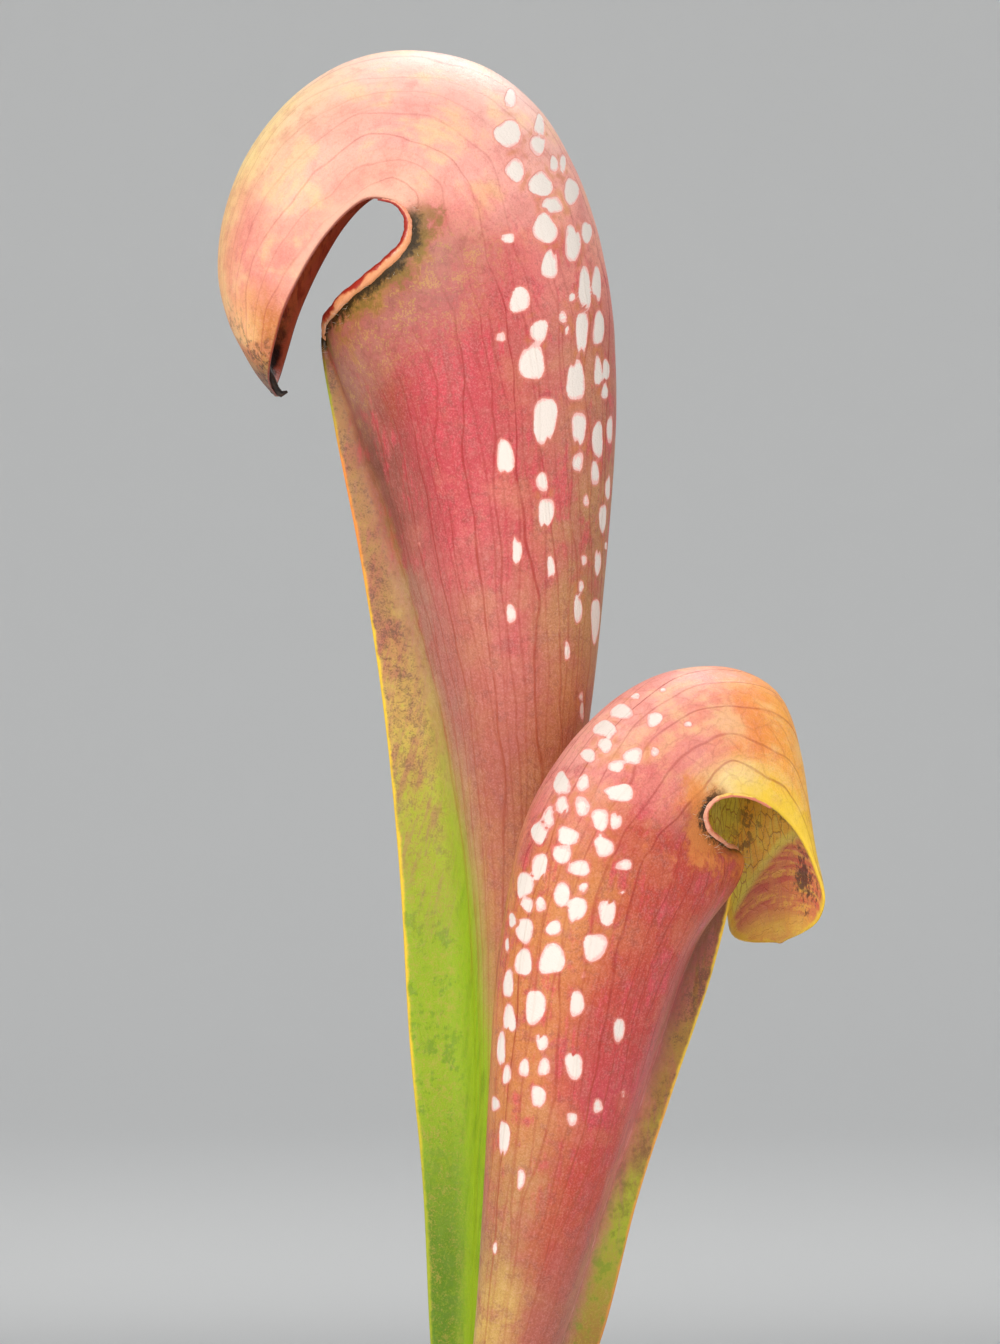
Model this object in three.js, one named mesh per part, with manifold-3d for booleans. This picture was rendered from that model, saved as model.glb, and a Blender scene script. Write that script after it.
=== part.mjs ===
// Potted hooded pitcher plant: two hollow, hooded leaves on one crown, in a round nursery pot.
// Millimetres, +Z up. The origin is the centre of the pot's underside. +X is to the right in the
// photograph and +Y points away from the camera.

import * as THREE from "three";
import { mergeVertices } from "three/addons/utils/BufferGeometryUtils.js";
import Module from "manifold-3d";

const wasm = await Module();
wasm.setup();

// The pot
const POT_HEIGHT = 95;
const POT_RIM_RADIUS = 55;
const POT_NECK_RADIUS = 51;
const POT_FOOT_RADIUS = 38;
const POT_WALL = 1.6;
const RIM_BAND_HEIGHT = 10;
const RIM_BAND_RADIUS = 53.2;
const RIM_ROLL = 1.8;
const FOOT_RING_WIDTH = 7;
const FLOOR_RISE = 1.6;
const FLOOR_THICKNESS = 2;
const DRAIN_RADIUS = 4;
const DRAIN_CIRCLE = 21;
const DRAIN_COUNT = 6;
const POT_SIDES = 48;

// The growing mix, mounded round the crown
const MIX_EDGE_HEIGHT = 83;
const MIX_CROWN_HEIGHT = 88;
const MIX_LUMP = 0.7;
const MIX_RINGS = 9;
const MIX_SIDES = 40;

// The crown, a short rhizome lying half buried under both leaves
const CROWN_CENTRE = new THREE.Vector3(0, -0.5, 85.5);
const CROWN_SIZE = new THREE.Vector3(9, 14, 6.4);
const BRACT_THICKNESS = 0.8;

// Touching pieces keep this much air between them
const GAP = 0.35;

// A leaf's wall, its wing and the roll round its mouth
const LEAF_WALL = 0.8;
const WING_THICKNESS = 0.8;
const ROLL_RADIUS = 0.8;
const ROLL_END_RADIUS = 0.5;

// Of the columns from the back of a leaf to its front, the last few form the wing
const COLUMNS = 12;
const WING_COLUMNS = 3;
const WING_SHARE = 1 - WING_COLUMNS / COLUMNS;
const WING_ANGLE = 0.94;

// Where the wing's columns stand, as shares of its width, and how near its rim the last may come
const WING_STEPS = [0, 0.5, 0.78, 1];

// The keel that carries the wing rises between these shares of a section's half depth
const KEEL_FOOT = 1.2;
const KEEL_TOP = 1.8;

// Where the front of a tube leaves its ellipse, as a share of half its depth, how far into the
// wing it runs, and how much of that smoother line a full wing takes
const TAPER_FROM = 0.35;
const TAPER_REACH = 0.35;
const TAPER_SHARE = 0.7;

// The stations run up each leaf and on over its hood. Each gives, in the leaf's own plane, the
// back as forward and up, the front or mouth edge as forward and up, half the width, the angle
// from the back to the edge in degrees (180 is a closed tube), the wing's width, and how much
// the right side rises for each mm of width.
const TALL_LEAF = {
  name: "pitcher_tall",
  foot: new THREE.Vector3(1.8, 6, MIX_CROWN_HEIGHT),
  facing: 178,
  lean: 0,
  lip: 11,
  floor: 4,
  rollReach: 6,
  stations: [
    [-3.1, -3.6, 2.6, -3.6, 2.6, 180, 0.3, 0],
    [-2.8, 7.2, 2, 7.2, 2.3, 180, 1, 0],
    [-2.9, 25.2, 1.6, 25.2, 2.2, 180, 2.6, 0],
    [-3.4, 43.2, 1.2, 43.2, 2.3, 180, 4, 0],
    [-4.2, 57, 1.1, 57, 2.6, 180, 5, 0],
    [-5.6, 74.1, 0.7, 74, 3.2, 180, 6.2, 0],
    [-7.6, 91.2, 0.8, 91.2, 4, 180, 7.7, 0],
    [-10.3, 111.6, 1.9, 111.6, 5.7, 180, 7.8, 0],
    [-13.3, 130.8, 5.2, 130.8, 8.2, 180, 6.4, 0],
    [-15.2, 149, 9.9, 149, 10.5, 180, 4.5, 0],
    [-16.3, 164.4, 14.9, 164.7, 12.1, 180, 2.6, 0],
    [-16.2, 174.6, 18.5, 175.5, 12.8, 180, 0.6, 0],
    [-15.8, 179.4, 16.9, 179, 12.9, 152, 0, 0.03],
    [-15.1, 183.8, 12.3, 182.9, 12.9, 126, 0, 0.07],
    [-13.8, 189.3, 8.7, 186.5, 12.8, 113, 0, 0.1],
    [-11.4, 195.8, 8, 189.6, 12.6, 106, 0, 0.12],
    [-7.2, 202.8, 8.9, 191.4, 12.5, 101, 0, 0.12],
    [-0.6, 208, 10.4, 192.2, 12.4, 98, 0, 0.12],
    [7.8, 210, 12.8, 192.3, 12.3, 97, 0, 0.12],
    [15.6, 208.8, 15, 190.9, 12.2, 96, 0, 0.12],
    [22.4, 204.6, 17.2, 188.5, 12, 95, 0, 0.11],
    [27.7, 198.1, 19.1, 185.7, 11.8, 94, 0, 0.09],
    [30.7, 190.7, 21, 182.2, 11.4, 93, 0, 0.07],
    [31.5, 183.5, 22.7, 178.4, 10.8, 92, 0, 0.04],
    [30.3, 177.7, 23.8, 174.7, 9.8, 92, 0, 0.02],
    [28.3, 173.5, 24.6, 171.6, 8, 92, 0, 0],
    [26.6, 170.7, 24.9, 169.7, 4.5, 92, 0, 0],
    [24.7, 168.5, 24.3, 168.5, 0.8, 92, 0, 0],
  ],
};
const SHORT_LEAF = {
  name: "pitcher_short",
  foot: new THREE.Vector3(-2, -7, MIX_CROWN_HEIGHT),
  facing: 30,
  lean: 7,
  lip: 9,
  floor: 3,
  rollReach: 5,
  stations: [
    [-2.2, -3.5, 3.8, -3.5, 2.6, 180, 0.3, 0],
    [-1.7, 10.9, 3.6, 9.9, 2.3, 180, 1.2, 0],
    [-0.8, 23, 4.7, 22.3, 2.4, 180, 2.8, 0],
    [0.6, 35, 6.7, 34.4, 2.9, 180, 4.4, 0],
    [2.4, 46.5, 10.4, 45.8, 3.5, 180, 5.6, 0],
    [4.2, 58, 15.3, 57.3, 4.4, 180, 6, 0],
    [5.6, 73, 20.9, 72.2, 6.2, 180, 4.9, 0],
    [6.6, 86, 26.2, 84.9, 7.8, 180, 4.5, 0],
    [7.8, 101, 32, 99.4, 9.2, 180, 4.4, 0],
    [10, 113, 39.2, 111.3, 9.9, 180, 0, 0],
    [11.4, 117.1, 35.1, 114.2, 10, 152, 0, 0],
    [13.3, 120.7, 30.9, 116.6, 10, 128, 0, 0],
    [16, 124.4, 29.3, 118.9, 10, 113, 0, 0],
    [19.7, 128.4, 30, 120.5, 10, 105, 0, 0],
    [25.2, 132.4, 31.7, 121.1, 10.1, 100, 0, 0],
    [31.2, 134.6, 34.1, 120.7, 10.2, 97, 0, 0.02],
    [38.1, 134.6, 36.5, 119.6, 10.2, 94, 0, 0.04],
    [43.3, 132.1, 39, 117.7, 10.2, 91, 0, 0.07],
    [45, 127.4, 41.3, 115.1, 10.2, 88, 0, 0.1],
    [45.3, 122, 42.9, 112.2, 10.4, 84, 0, 0.14],
    [45.4, 116.1, 44, 109.1, 10.8, 80, 0, 0.18],
    [46, 110.5, 45, 105.8, 10.9, 78, 0, 0.22],
    [46, 105.9, 45, 103.1, 9.8, 78, 0, 0.25],
    [46.2, 102.6, 45.2, 101.8, 6.6, 78, 0, 0.26],
    [45.9, 100.9, 45.8, 101.1, 0.8, 78, 0, 0.26],
  ],
};

const MATERIALS = {
  pot: new THREE.MeshStandardMaterial({ color: 0x2b2a28, roughness: 0.6, metalness: 0 }),
  mix: new THREE.MeshStandardMaterial({ color: 0x4a3626, roughness: 0.95, metalness: 0 }),
  crown: new THREE.MeshStandardMaterial({ color: 0x6e4a2e, roughness: 0.8, metalness: 0 }),
  leaf: new THREE.MeshStandardMaterial({ color: 0xbf6a5c, roughness: 0.45, metalness: 0 }),
};

const radians = THREE.MathUtils.degToRad;
const clamp = THREE.MathUtils.clamp;
const lerp = THREE.MathUtils.lerp;

// A closed solid from a geometry, with its shared corners merged
function toSolid(geometry) {
  const bare = geometry.clone();
  bare.deleteAttribute("normal");
  bare.deleteAttribute("uv");
  const merged = mergeVertices(bare, 1e-4);
  return new wasm.Manifold(new wasm.Mesh({
    numProp: 3,
    vertProperties: new Float32Array(merged.attributes.position.array),
    triVerts: new Uint32Array(merged.index.array),
  }));
}

function toGeometry(solid) {
  const mesh = solid.getMesh();
  const geometry = new THREE.BufferGeometry();
  geometry.setAttribute("position", new THREE.BufferAttribute(mesh.vertProperties, 3));
  geometry.setIndex(new THREE.BufferAttribute(mesh.triVerts, 1));
  geometry.computeVertexNormals();
  return geometry;
}

// Collects triangles, four-sided faces and fans, and leaves out those with no area
class Skin {
  constructor() {
    this.corners = [];
  }

  triangle(a, b, c) {
    const flat = a.distanceTo(b) < 1e-4 || b.distanceTo(c) < 1e-4 || c.distanceTo(a) < 1e-4;
    if (!flat) this.corners.push(a, b, c);
  }

  quad(a, b, c, d) {
    this.triangle(a, b, c);
    this.triangle(a, c, d);
  }

  fan(loop, centre) {
    loop.slice(1).forEach((point, k) => this.triangle(loop[k], point, centre));
  }

  geometry() {
    return new THREE.BufferGeometry().setFromPoints(this.corners);
  }
}

// A Catmull-Rom curve through the stations, for every value of a station at once
function stationAt(stations, t) {
  const last = stations.length - 1;
  const k = clamp(Math.floor(t), 0, last - 1);
  const f = t - k;
  const before = stations[Math.max(k - 1, 0)];
  const start = stations[k];
  const end = stations[k + 1];
  const after = stations[Math.min(k + 2, last)];
  return start.map((value, n) => 0.5 * (
    2 * value + (end[n] - before[n]) * f
    + (2 * before[n] - 5 * value + 4 * end[n] - after[n]) * f * f
    + (3 * value - before[n] - 3 * end[n] + after[n]) * f * f * f));
}

// The middle line of a station: its back, the direction to its front, and the section's depth
function sectionFrame(station) {
  const [backForward, backUp, frontForward, frontUp, halfWidth, opening, wing, rise] = station;
  const span = Math.hypot(frontForward - backForward, frontUp - backUp);
  const open = radians(Math.min(opening, 180));
  return {
    back: [backForward, backUp],
    along: [(frontForward - backForward) / span, (frontUp - backUp) / span],
    depth: 2 * span / (1 - Math.cos(open)),
    halfWidth, open, rise,
    wing: Math.max(wing, 0),
  };
}

// Places a distance from the back and a distance to the right in the leaf's own space
function inLeaf(frame, distance, side) {
  return new THREE.Vector3(
    frame.back[0] + frame.along[0] * distance,
    -side,
    frame.back[1] + frame.along[1] * distance + frame.rise * side);
}

// Lets the front of a closed tube run smoothly into its wing, where an ellipse would meet it in a
// corner. Along runs from -1 at the back to 1 at the front.
function tapered(width, along, ellipse, wing, half) {
  if (along <= TAPER_FROM) return ellipse;
  const length = 1 + TAPER_REACH * wing / half - TAPER_FROM;
  const f = clamp((along - TAPER_FROM) / length, 0, 1);
  const start = Math.sqrt(1 - TAPER_FROM ** 2);
  const slope = -TAPER_FROM / start * length;
  const line = start * (2 * f ** 3 - 3 * f ** 2 + 1) + slope * (f ** 3 - 2 * f ** 2 + f);
  return lerp(ellipse, width * Math.max(line, 0), TAPER_SHARE * step(wing, 0.5, 4));
}

// Share 0 is the back, 1 and -1 are the right and left edges. Inset is the depth under the
// outer face, or less than 0 for a shape grown outwards.
function tubePoint(frame, share, inset) {
  const across = Math.abs(share);
  const angle = frame.open * (across <= WING_SHARE
    ? WING_ANGLE * across / WING_SHARE
    : 1 - (1 - WING_ANGLE) * (1 - across) / (1 - WING_SHARE));
  const skin = Math.min(inset, 0.45 * frame.halfWidth, 0.2 * frame.depth);
  const half = frame.depth / 2 - skin;
  const distance = frame.depth / 2 - half * Math.cos(angle);
  const width = frame.halfWidth - skin;
  const side = across > 0.999 ? width * Math.sin(angle)
    : tapered(width, -Math.cos(angle), width * Math.sin(angle), frame.wing, half);
  return inLeaf(frame, distance, Math.sign(share) * side);
}

// The same with the wing, a thin keel that stands out along the front of a closed tube
function wingedPoint(frame, share, inset) {
  const across = Math.abs(share);
  const half = frame.depth / 2;
  const rim = frame.depth - inset + frame.wing;
  const start = half - (half - inset) * Math.cos(Math.PI * WING_ANGLE);
  const thick = WING_THICKNESS / 2 - inset;
  let distance = half - (half - inset) * Math.cos(Math.PI * WING_ANGLE * across / WING_SHARE);
  if (across > WING_SHARE) {
    const column = Math.round((across - WING_SHARE) * COLUMNS);
    const reach = rim - start;
    const nearRim = column === WING_COLUMNS - 1 ? 1 - thick / reach : 0;
    distance = start + reach * Math.max(WING_STEPS[column], nearRim);
  }
  const along = (distance - half) / (half - inset);
  const width = frame.halfWidth - inset;
  const ellipse = width * Math.sqrt(1 - clamp(along, -1, 1) ** 2);
  const tube = tapered(width, along, ellipse, frame.wing, half - inset);
  const keel = step(distance, half * KEEL_FOOT, half * KEEL_TOP) * thick;
  const side = across > 0.999 ? 0 : Math.hypot(tube, keel);
  return inLeaf(frame, distance, Math.sign(share) * side);
}

function step(value, from, to) {
  return THREE.MathUtils.smoothstep(value, from, to);
}

function outerPoint(leaf, t, share, inset = 0) {
  const frame = sectionFrame(stationAt(leaf.stations, t));
  return t <= leaf.lip ? wingedPoint(frame, share, inset) : tubePoint(frame, share, inset);
}

function innerPoint(leaf, t, share) {
  return tubePoint(sectionFrame(stationAt(leaf.stations, t)), share, LEAF_WALL);
}

// Rows up the leaf: one for each station of the narrow stalk, two for each further on
function rowsOf(leaf) {
  const last = leaf.stations.length - 1;
  const rows = [];
  for (let t = 0; t <= last; t += t < leaf.floor ? 1 : 0.5) rows.push(t);
  return rows;
}

const SHARES = Array.from({ length: 2 * COLUMNS + 1 }, (_, k) => (k - COLUMNS) / COLUMNS);

// The hollow leaf: outer face, inner face from the floor up, and the edges that join them
function leafShell(leaf) {
  const skin = new Skin();
  const rows = rowsOf(leaf);
  const outer = rows.map((t) => SHARES.map((share) => outerPoint(leaf, t, share)));
  const inner = rows.map((t) => SHARES.map((share) => innerPoint(leaf, t, share)));
  const end = SHARES.length - 1;
  const top = rows.length - 1;
  const lipRow = rows.indexOf(leaf.lip);
  const floorRow = rows.indexOf(leaf.floor);
  for (let i = 0; i < top; i += 1) {
    for (let j = 0; j < end; j += 1) {
      skin.quad(outer[i][j], outer[i][j + 1], outer[i + 1][j + 1], outer[i + 1][j]);
      if (i >= floorRow) skin.quad(inner[i][j], inner[i + 1][j], inner[i + 1][j + 1], inner[i][j + 1]);
    }
    if (i >= lipRow) {
      skin.quad(outer[i + 1][end], outer[i][end], inner[i][end], inner[i + 1][end]);
      skin.quad(outer[i][0], outer[i + 1][0], inner[i + 1][0], inner[i][0]);
    }
  }
  for (let j = 0; j < end; j += 1) {
    skin.quad(outer[top][j], outer[top][j + 1], inner[top][j + 1], inner[top][j]);
  }
  const middle = (loop) => loop.slice(1).reduce((sum, p) => sum.add(p), new THREE.Vector3()).divideScalar(end);
  skin.fan([...outer[0]].reverse(), middle(outer[0]));
  skin.fan(inner[floorRow], middle(inner[floorRow]));
  return toSolid(skin.geometry());
}

// A round bead of changing radius along a path, closed at both ends
function bead(path, radii, sides) {
  const skin = new Skin();
  const rings = path.map((point, k) => {
    const ahead = path[Math.min(k + 1, path.length - 1)];
    const behind = path[Math.max(k - 1, 0)];
    const along = ahead.clone().sub(behind).normalize();
    const across = new THREE.Vector3(0, 1, 0).cross(along).normalize();
    const other = along.clone().cross(across);
    return Array.from({ length: sides + 1 }, (_, n) => {
      const angle = 2 * Math.PI * (n % sides) / sides;
      return point.clone()
        .addScaledVector(across, radii[k] * Math.cos(angle))
        .addScaledVector(other, radii[k] * Math.sin(angle));
    });
  });
  for (let k = 0; k + 1 < rings.length; k += 1) {
    for (let n = 0; n < sides; n += 1) {
      skin.quad(rings[k][n], rings[k][n + 1], rings[k + 1][n + 1], rings[k + 1][n]);
    }
  }
  skin.fan([...rings[0]].reverse(), path[0]);
  skin.fan(rings.at(-1), path.at(-1));
  return toSolid(skin.geometry());
}

// The rolled lip: up one side of the mouth, round its front and up the other side
function lipRoll(leaf) {
  const path = [];
  const radii = [];
  const reach = leaf.rollReach;
  for (let t = -reach; t <= reach; t += 0.5) {
    const at = leaf.lip + Math.abs(t);
    const share = t === 0 ? 1 : Math.sign(t);
    path.push(outerPoint(leaf, at, share).lerp(innerPoint(leaf, at, share), 0.5));
    radii.push(lerp(ROLL_RADIUS, ROLL_END_RADIUS, step(Math.abs(t), 0.5 * reach, reach)));
  }
  return bead(path, radii, 8);
}

function placeLeaf(object, leaf) {
  object.position.copy(leaf.foot);
  object.rotation.set(radians(leaf.lean), 0, radians(leaf.facing));
  return object;
}

function leafMesh(leaf) {
  const solid = leafShell(leaf).add(lipRoll(leaf));
  return placeLeaf(named(leaf.name, toGeometry(solid), MATERIALS.leaf), leaf);
}

// The room that a leaf's foot takes in the crown, grown by the gap
function footSocket(leaf) {
  const skin = new Skin();
  const rows = [0, 0.5, 1].map((t) => SHARES.map((share) => outerPoint(leaf, t, share, -GAP)));
  rows[0].forEach((point) => { point.z -= GAP; });
  const end = SHARES.length - 1;
  const middle = (loop) => loop.slice(1).reduce((sum, p) => sum.add(p), new THREE.Vector3()).divideScalar(end);
  for (let i = 0; i < 2; i += 1) {
    for (let j = 0; j < end; j += 1) skin.quad(rows[i][j], rows[i][j + 1], rows[i + 1][j + 1], rows[i + 1][j]);
  }
  skin.fan([...rows[0]].reverse(), middle(rows[0]));
  skin.fan(rows[2], middle(rows[2]));
  const holder = placeLeaf(new THREE.Object3D(), leaf);
  holder.updateMatrix();
  return toSolid(skin.geometry().applyMatrix4(holder.matrix));
}

// A dry scale leaf on the crown: a pointed, cupped blade that rises and leans outwards
function bract({ at, heading, length, width }, grow) {
  const skin = new Skin();
  const steps = 5;
  const base = new THREE.Vector3(at[0], at[1], BRACT_ROOT_HEIGHT - grow);
  const turn = radians(heading);
  const outward = new THREE.Vector3(Math.cos(turn), Math.sin(turn), 0);
  const across = new THREE.Vector3(-Math.sin(turn), Math.cos(turn), 0);
  const lift = new THREE.Vector3(0, 0, 1);
  const point = (k, side, face) => {
    const f = k / steps;
    const half = width / 2 * Math.sqrt(1 - f) * (0.75 + 0.5 * f) + 0.35 + grow;
    const bow = 1.6 * f * f + 0.25 * side * side * half;
    return base.clone()
      .addScaledVector(lift, length * f)
      .addScaledVector(outward, bow + face * (BRACT_THICKNESS / 2 + grow))
      .addScaledVector(across, half * side);
  };
  const sides = [-1, 0, 1];
  const ring = (k) => [
    ...sides.map((side) => point(k, side, 1)),
    ...[...sides].reverse().map((side) => point(k, side, -1)),
  ];
  const rings = Array.from({ length: steps + 1 }, (_, k) => ring(k));
  const count = rings[0].length;
  for (let k = 0; k < steps; k += 1) {
    for (let n = 0; n < count; n += 1) {
      const next = (n + 1) % count;
      skin.quad(rings[k][n], rings[k][next], rings[k + 1][next], rings[k + 1][n]);
    }
  }
  for (const [row, flip] of [[rings[0], true], [rings[steps], false]]) {
    for (const [a, b, c, d] of [[0, 1, 4, 5], [1, 2, 3, 4]]) {
      const corners = [row[a], row[b], row[c], row[d]];
      skin.quad(...(flip ? corners.reverse() : corners));
    }
  }
  return toSolid(skin.geometry());
}

const BRACTS = [
  { at: [5.6, 9.5], heading: 45, length: 9, width: 6 },
  { at: [-3.4, 9.3], heading: 130, length: 7.5, width: 5.5 },
  { at: [4.6, -8.6], heading: -20, length: 8, width: 6 },
  { at: [-7.2, -7.2], heading: 190, length: 9.5, width: 6 },
  { at: [-5.4, 0.8], heading: 175, length: 7, width: 6.5 },
  { at: [5.8, 0.2], heading: 5, length: 6.5, width: 6 },
];
const BRACT_ROOT_HEIGHT = 86.5;

function crownBody(grow) {
  const body = new THREE.SphereGeometry(1, 20, 12);
  body.scale(CROWN_SIZE.x + grow, CROWN_SIZE.y + grow, CROWN_SIZE.z + grow);
  body.translate(CROWN_CENTRE.x, CROWN_CENTRE.y, CROWN_CENTRE.z);
  return toSolid(body);
}

function crownMesh() {
  let solid = crownBody(0);
  for (const scale of BRACTS) solid = solid.add(bract(scale, 0));
  solid = solid.subtract(footSocket(TALL_LEAF)).subtract(footSocket(SHORT_LEAF));
  return named("crown", toGeometry(solid), MATERIALS.crown);
}

// The pot's wall leans outwards from foot to neck
const wallRadius = (z) => lerp(POT_FOOT_RADIUS, POT_NECK_RADIUS, z / (POT_HEIGHT - RIM_BAND_HEIGHT));

function potMesh() {
  const bandFoot = POT_HEIGHT - RIM_BAND_HEIGHT;
  const rollCentre = [POT_RIM_RADIUS - RIM_ROLL, POT_HEIGHT - RIM_ROLL];
  const roll = [-45, 0, 45, 90, 135].map((degrees) => [
    rollCentre[0] + RIM_ROLL * Math.cos(radians(degrees)),
    rollCentre[1] + RIM_ROLL * Math.sin(radians(degrees)),
  ]);
  const ring = POT_FOOT_RADIUS - FOOT_RING_WIDTH;
  const floorTop = FLOOR_RISE + FLOOR_THICKNESS;
  const profile = [
    [0, FLOOR_RISE],
    [ring - FLOOR_RISE, FLOOR_RISE],
    [ring, 0],
    [POT_FOOT_RADIUS - 0.8, 0],
    [wallRadius(0.8), 0.8],
    [wallRadius(bandFoot - 1.5), bandFoot - 1.5],
    [RIM_BAND_RADIUS - 0.6, bandFoot - 0.6],
    [RIM_BAND_RADIUS, bandFoot],
    ...roll,
    [RIM_BAND_RADIUS - POT_WALL, POT_HEIGHT - 2.6],
    [RIM_BAND_RADIUS - POT_WALL, bandFoot + 1],
    [wallRadius(bandFoot) - POT_WALL, bandFoot - 1],
    [wallRadius(floorTop + 2) - POT_WALL, floorTop + 2],
    [wallRadius(floorTop) - POT_WALL - 2, floorTop],
    [0, floorTop],
  ].map(([radius, z]) => new THREE.Vector2(radius, z));
  const turned = new THREE.LatheGeometry(profile, POT_SIDES);
  turned.rotateX(Math.PI / 2);
  let solid = toSolid(turned);
  for (let k = 0; k <= DRAIN_COUNT; k += 1) {
    const drain = new THREE.CylinderGeometry(DRAIN_RADIUS, DRAIN_RADIUS, 10, 12);
    drain.rotateX(Math.PI / 2);
    const angle = 2 * Math.PI * k / DRAIN_COUNT;
    const circle = k < DRAIN_COUNT ? DRAIN_CIRCLE : 0;
    drain.translate(circle * Math.cos(angle), circle * Math.sin(angle), FLOOR_RISE);
    solid = solid.subtract(toSolid(drain));
  }
  return named("pot", toGeometry(solid), MATERIALS.pot);
}

// The lumps of the mix are waves of unlike lengths laid over each other
function lump(x, y) {
  return Math.sin(0.61 * x + 1.3) * Math.cos(0.53 * y) + 0.6 * Math.sin(1.31 * y + 0.7 * x)
    + 0.4 * Math.cos(1.7 * x - 1.1 * y);
}

function mixTop(radius, angle, edge) {
  const share = radius / edge;
  const x = radius * Math.cos(angle);
  const y = radius * Math.sin(angle);
  const mound = lerp(MIX_CROWN_HEIGHT, MIX_EDGE_HEIGHT, step(share, 0.15, 1));
  const calm = step(share, 0.16, 0.4) * (1 - step(share, 0.9, 1));
  return new THREE.Vector3(x, y, mound + MIX_LUMP * calm * lump(x, y));
}

function mixMesh() {
  const skin = new Skin();
  const floorTop = FLOOR_RISE + FLOOR_THICKNESS + GAP;
  const insideRadius = (z) => wallRadius(z) - POT_WALL - GAP - 0.15;
  const edge = insideRadius(MIX_EDGE_HEIGHT);
  const angles = Array.from({ length: MIX_SIDES + 1 }, (_, n) => 2 * Math.PI * (n % MIX_SIDES) / MIX_SIDES);
  const top = Array.from({ length: MIX_RINGS }, (_, k) => edge * (k + 1) / MIX_RINGS)
    .map((radius) => angles.map((angle) => mixTop(radius, angle, edge)));
  const level = (radius, z) => angles.map((angle) => new THREE.Vector3(
    radius * Math.cos(angle), radius * Math.sin(angle), z));
  const rings = [
    ...top,
    level(insideRadius(floorTop + 3), floorTop + 3),
    level(insideRadius(floorTop) - 3, floorTop),
  ];
  for (let k = 0; k + 1 < rings.length; k += 1) {
    for (let n = 0; n < MIX_SIDES; n += 1) {
      skin.quad(rings[k][n], rings[k + 1][n], rings[k + 1][n + 1], rings[k][n + 1]);
    }
  }
  skin.fan(rings[0], mixTop(0, 0, edge));
  skin.fan([...rings.at(-1)].reverse(), new THREE.Vector3(0, 0, floorTop));
  let solid = toSolid(skin.geometry()).subtract(crownBody(GAP));
  for (const scale of BRACTS) solid = solid.subtract(bract(scale, GAP));
  return named("growing_mix", toGeometry(solid), MATERIALS.mix);
}

function named(name, geometry, material) {
  const mesh = new THREE.Mesh(geometry, material);
  mesh.name = name;
  return mesh;
}

const plant = new THREE.Group();
plant.add(potMesh(), mixMesh(), crownMesh(), leafMesh(TALL_LEAF), leafMesh(SHORT_LEAF));

export default plant;
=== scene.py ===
# %% [markdown]
# # A potted hooded pitcher plant
# Two hollow leaves stand on one crown in a nursery pot. Each leaf is a tube with a thin wing down
# its front, a rolled lip round its mouth and a hood that arches over it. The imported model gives
# the real sizes, and this script makes the fine surfaces and finishes over it.

# %% Load the frame
import math
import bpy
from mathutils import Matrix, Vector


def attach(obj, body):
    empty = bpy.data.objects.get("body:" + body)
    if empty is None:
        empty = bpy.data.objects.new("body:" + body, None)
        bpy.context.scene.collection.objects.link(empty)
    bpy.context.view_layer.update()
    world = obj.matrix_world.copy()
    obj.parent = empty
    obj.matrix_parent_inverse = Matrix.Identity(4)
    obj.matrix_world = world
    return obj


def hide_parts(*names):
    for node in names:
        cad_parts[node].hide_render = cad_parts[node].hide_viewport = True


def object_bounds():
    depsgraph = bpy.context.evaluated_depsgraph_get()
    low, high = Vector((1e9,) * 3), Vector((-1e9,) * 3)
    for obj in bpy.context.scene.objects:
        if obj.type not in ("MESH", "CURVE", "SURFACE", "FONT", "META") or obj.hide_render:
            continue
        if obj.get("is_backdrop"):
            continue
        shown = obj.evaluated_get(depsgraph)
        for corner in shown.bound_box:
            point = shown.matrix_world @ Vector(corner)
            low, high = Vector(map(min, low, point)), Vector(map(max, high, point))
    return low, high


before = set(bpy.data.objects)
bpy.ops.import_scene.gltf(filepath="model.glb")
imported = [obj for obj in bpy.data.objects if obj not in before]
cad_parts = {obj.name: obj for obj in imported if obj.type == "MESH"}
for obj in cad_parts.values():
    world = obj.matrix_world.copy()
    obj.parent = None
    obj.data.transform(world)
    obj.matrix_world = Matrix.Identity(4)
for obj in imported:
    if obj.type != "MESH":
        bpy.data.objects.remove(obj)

from types import SimpleNamespace

import bmesh
import bpy
import numpy as np
from mathutils import Vector

cad_box = [list(corner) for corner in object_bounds()]
MM = 0.001
print("frame box in mm:", [[round(v / MM, 1) for v in corner] for corner in cad_box])

# %% [markdown]
# ## The photograph's view
# The camera looks level along +Y. One pixel of the photograph is 0.12 mm in the plane of the tall
# leaf, and the leaf stands 550 mm from the camera. Both give the lens: the frame's height in that
# plane, against the sensor's long side.

# %% Camera
PHOTO_WIDTH = 1000
PHOTO_HEIGHT = 1344
PIXEL = 0.12
DISTANCE = 550.0
TALL_PLANE = 6.0
POT_CENTRE_PIXEL = 465.0
CROWN_PIXEL = 1800.0
CROWN_HEIGHT = 88.0
SENSOR = 36.0

eye = np.array([
    (PHOTO_WIDTH / 2 - POT_CENTRE_PIXEL) * PIXEL,
    TALL_PLANE - DISTANCE,
    CROWN_HEIGHT + (CROWN_PIXEL - PHOTO_HEIGHT / 2) * PIXEL,
])


def photo_pixels(points):
    """Where points in mm are seen in the photograph."""
    away = points - eye
    scale = DISTANCE / away[..., 1] / PIXEL
    return np.stack([PHOTO_WIDTH / 2 + away[..., 0] * scale, PHOTO_HEIGHT / 2 - away[..., 2] * scale], -1)


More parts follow.
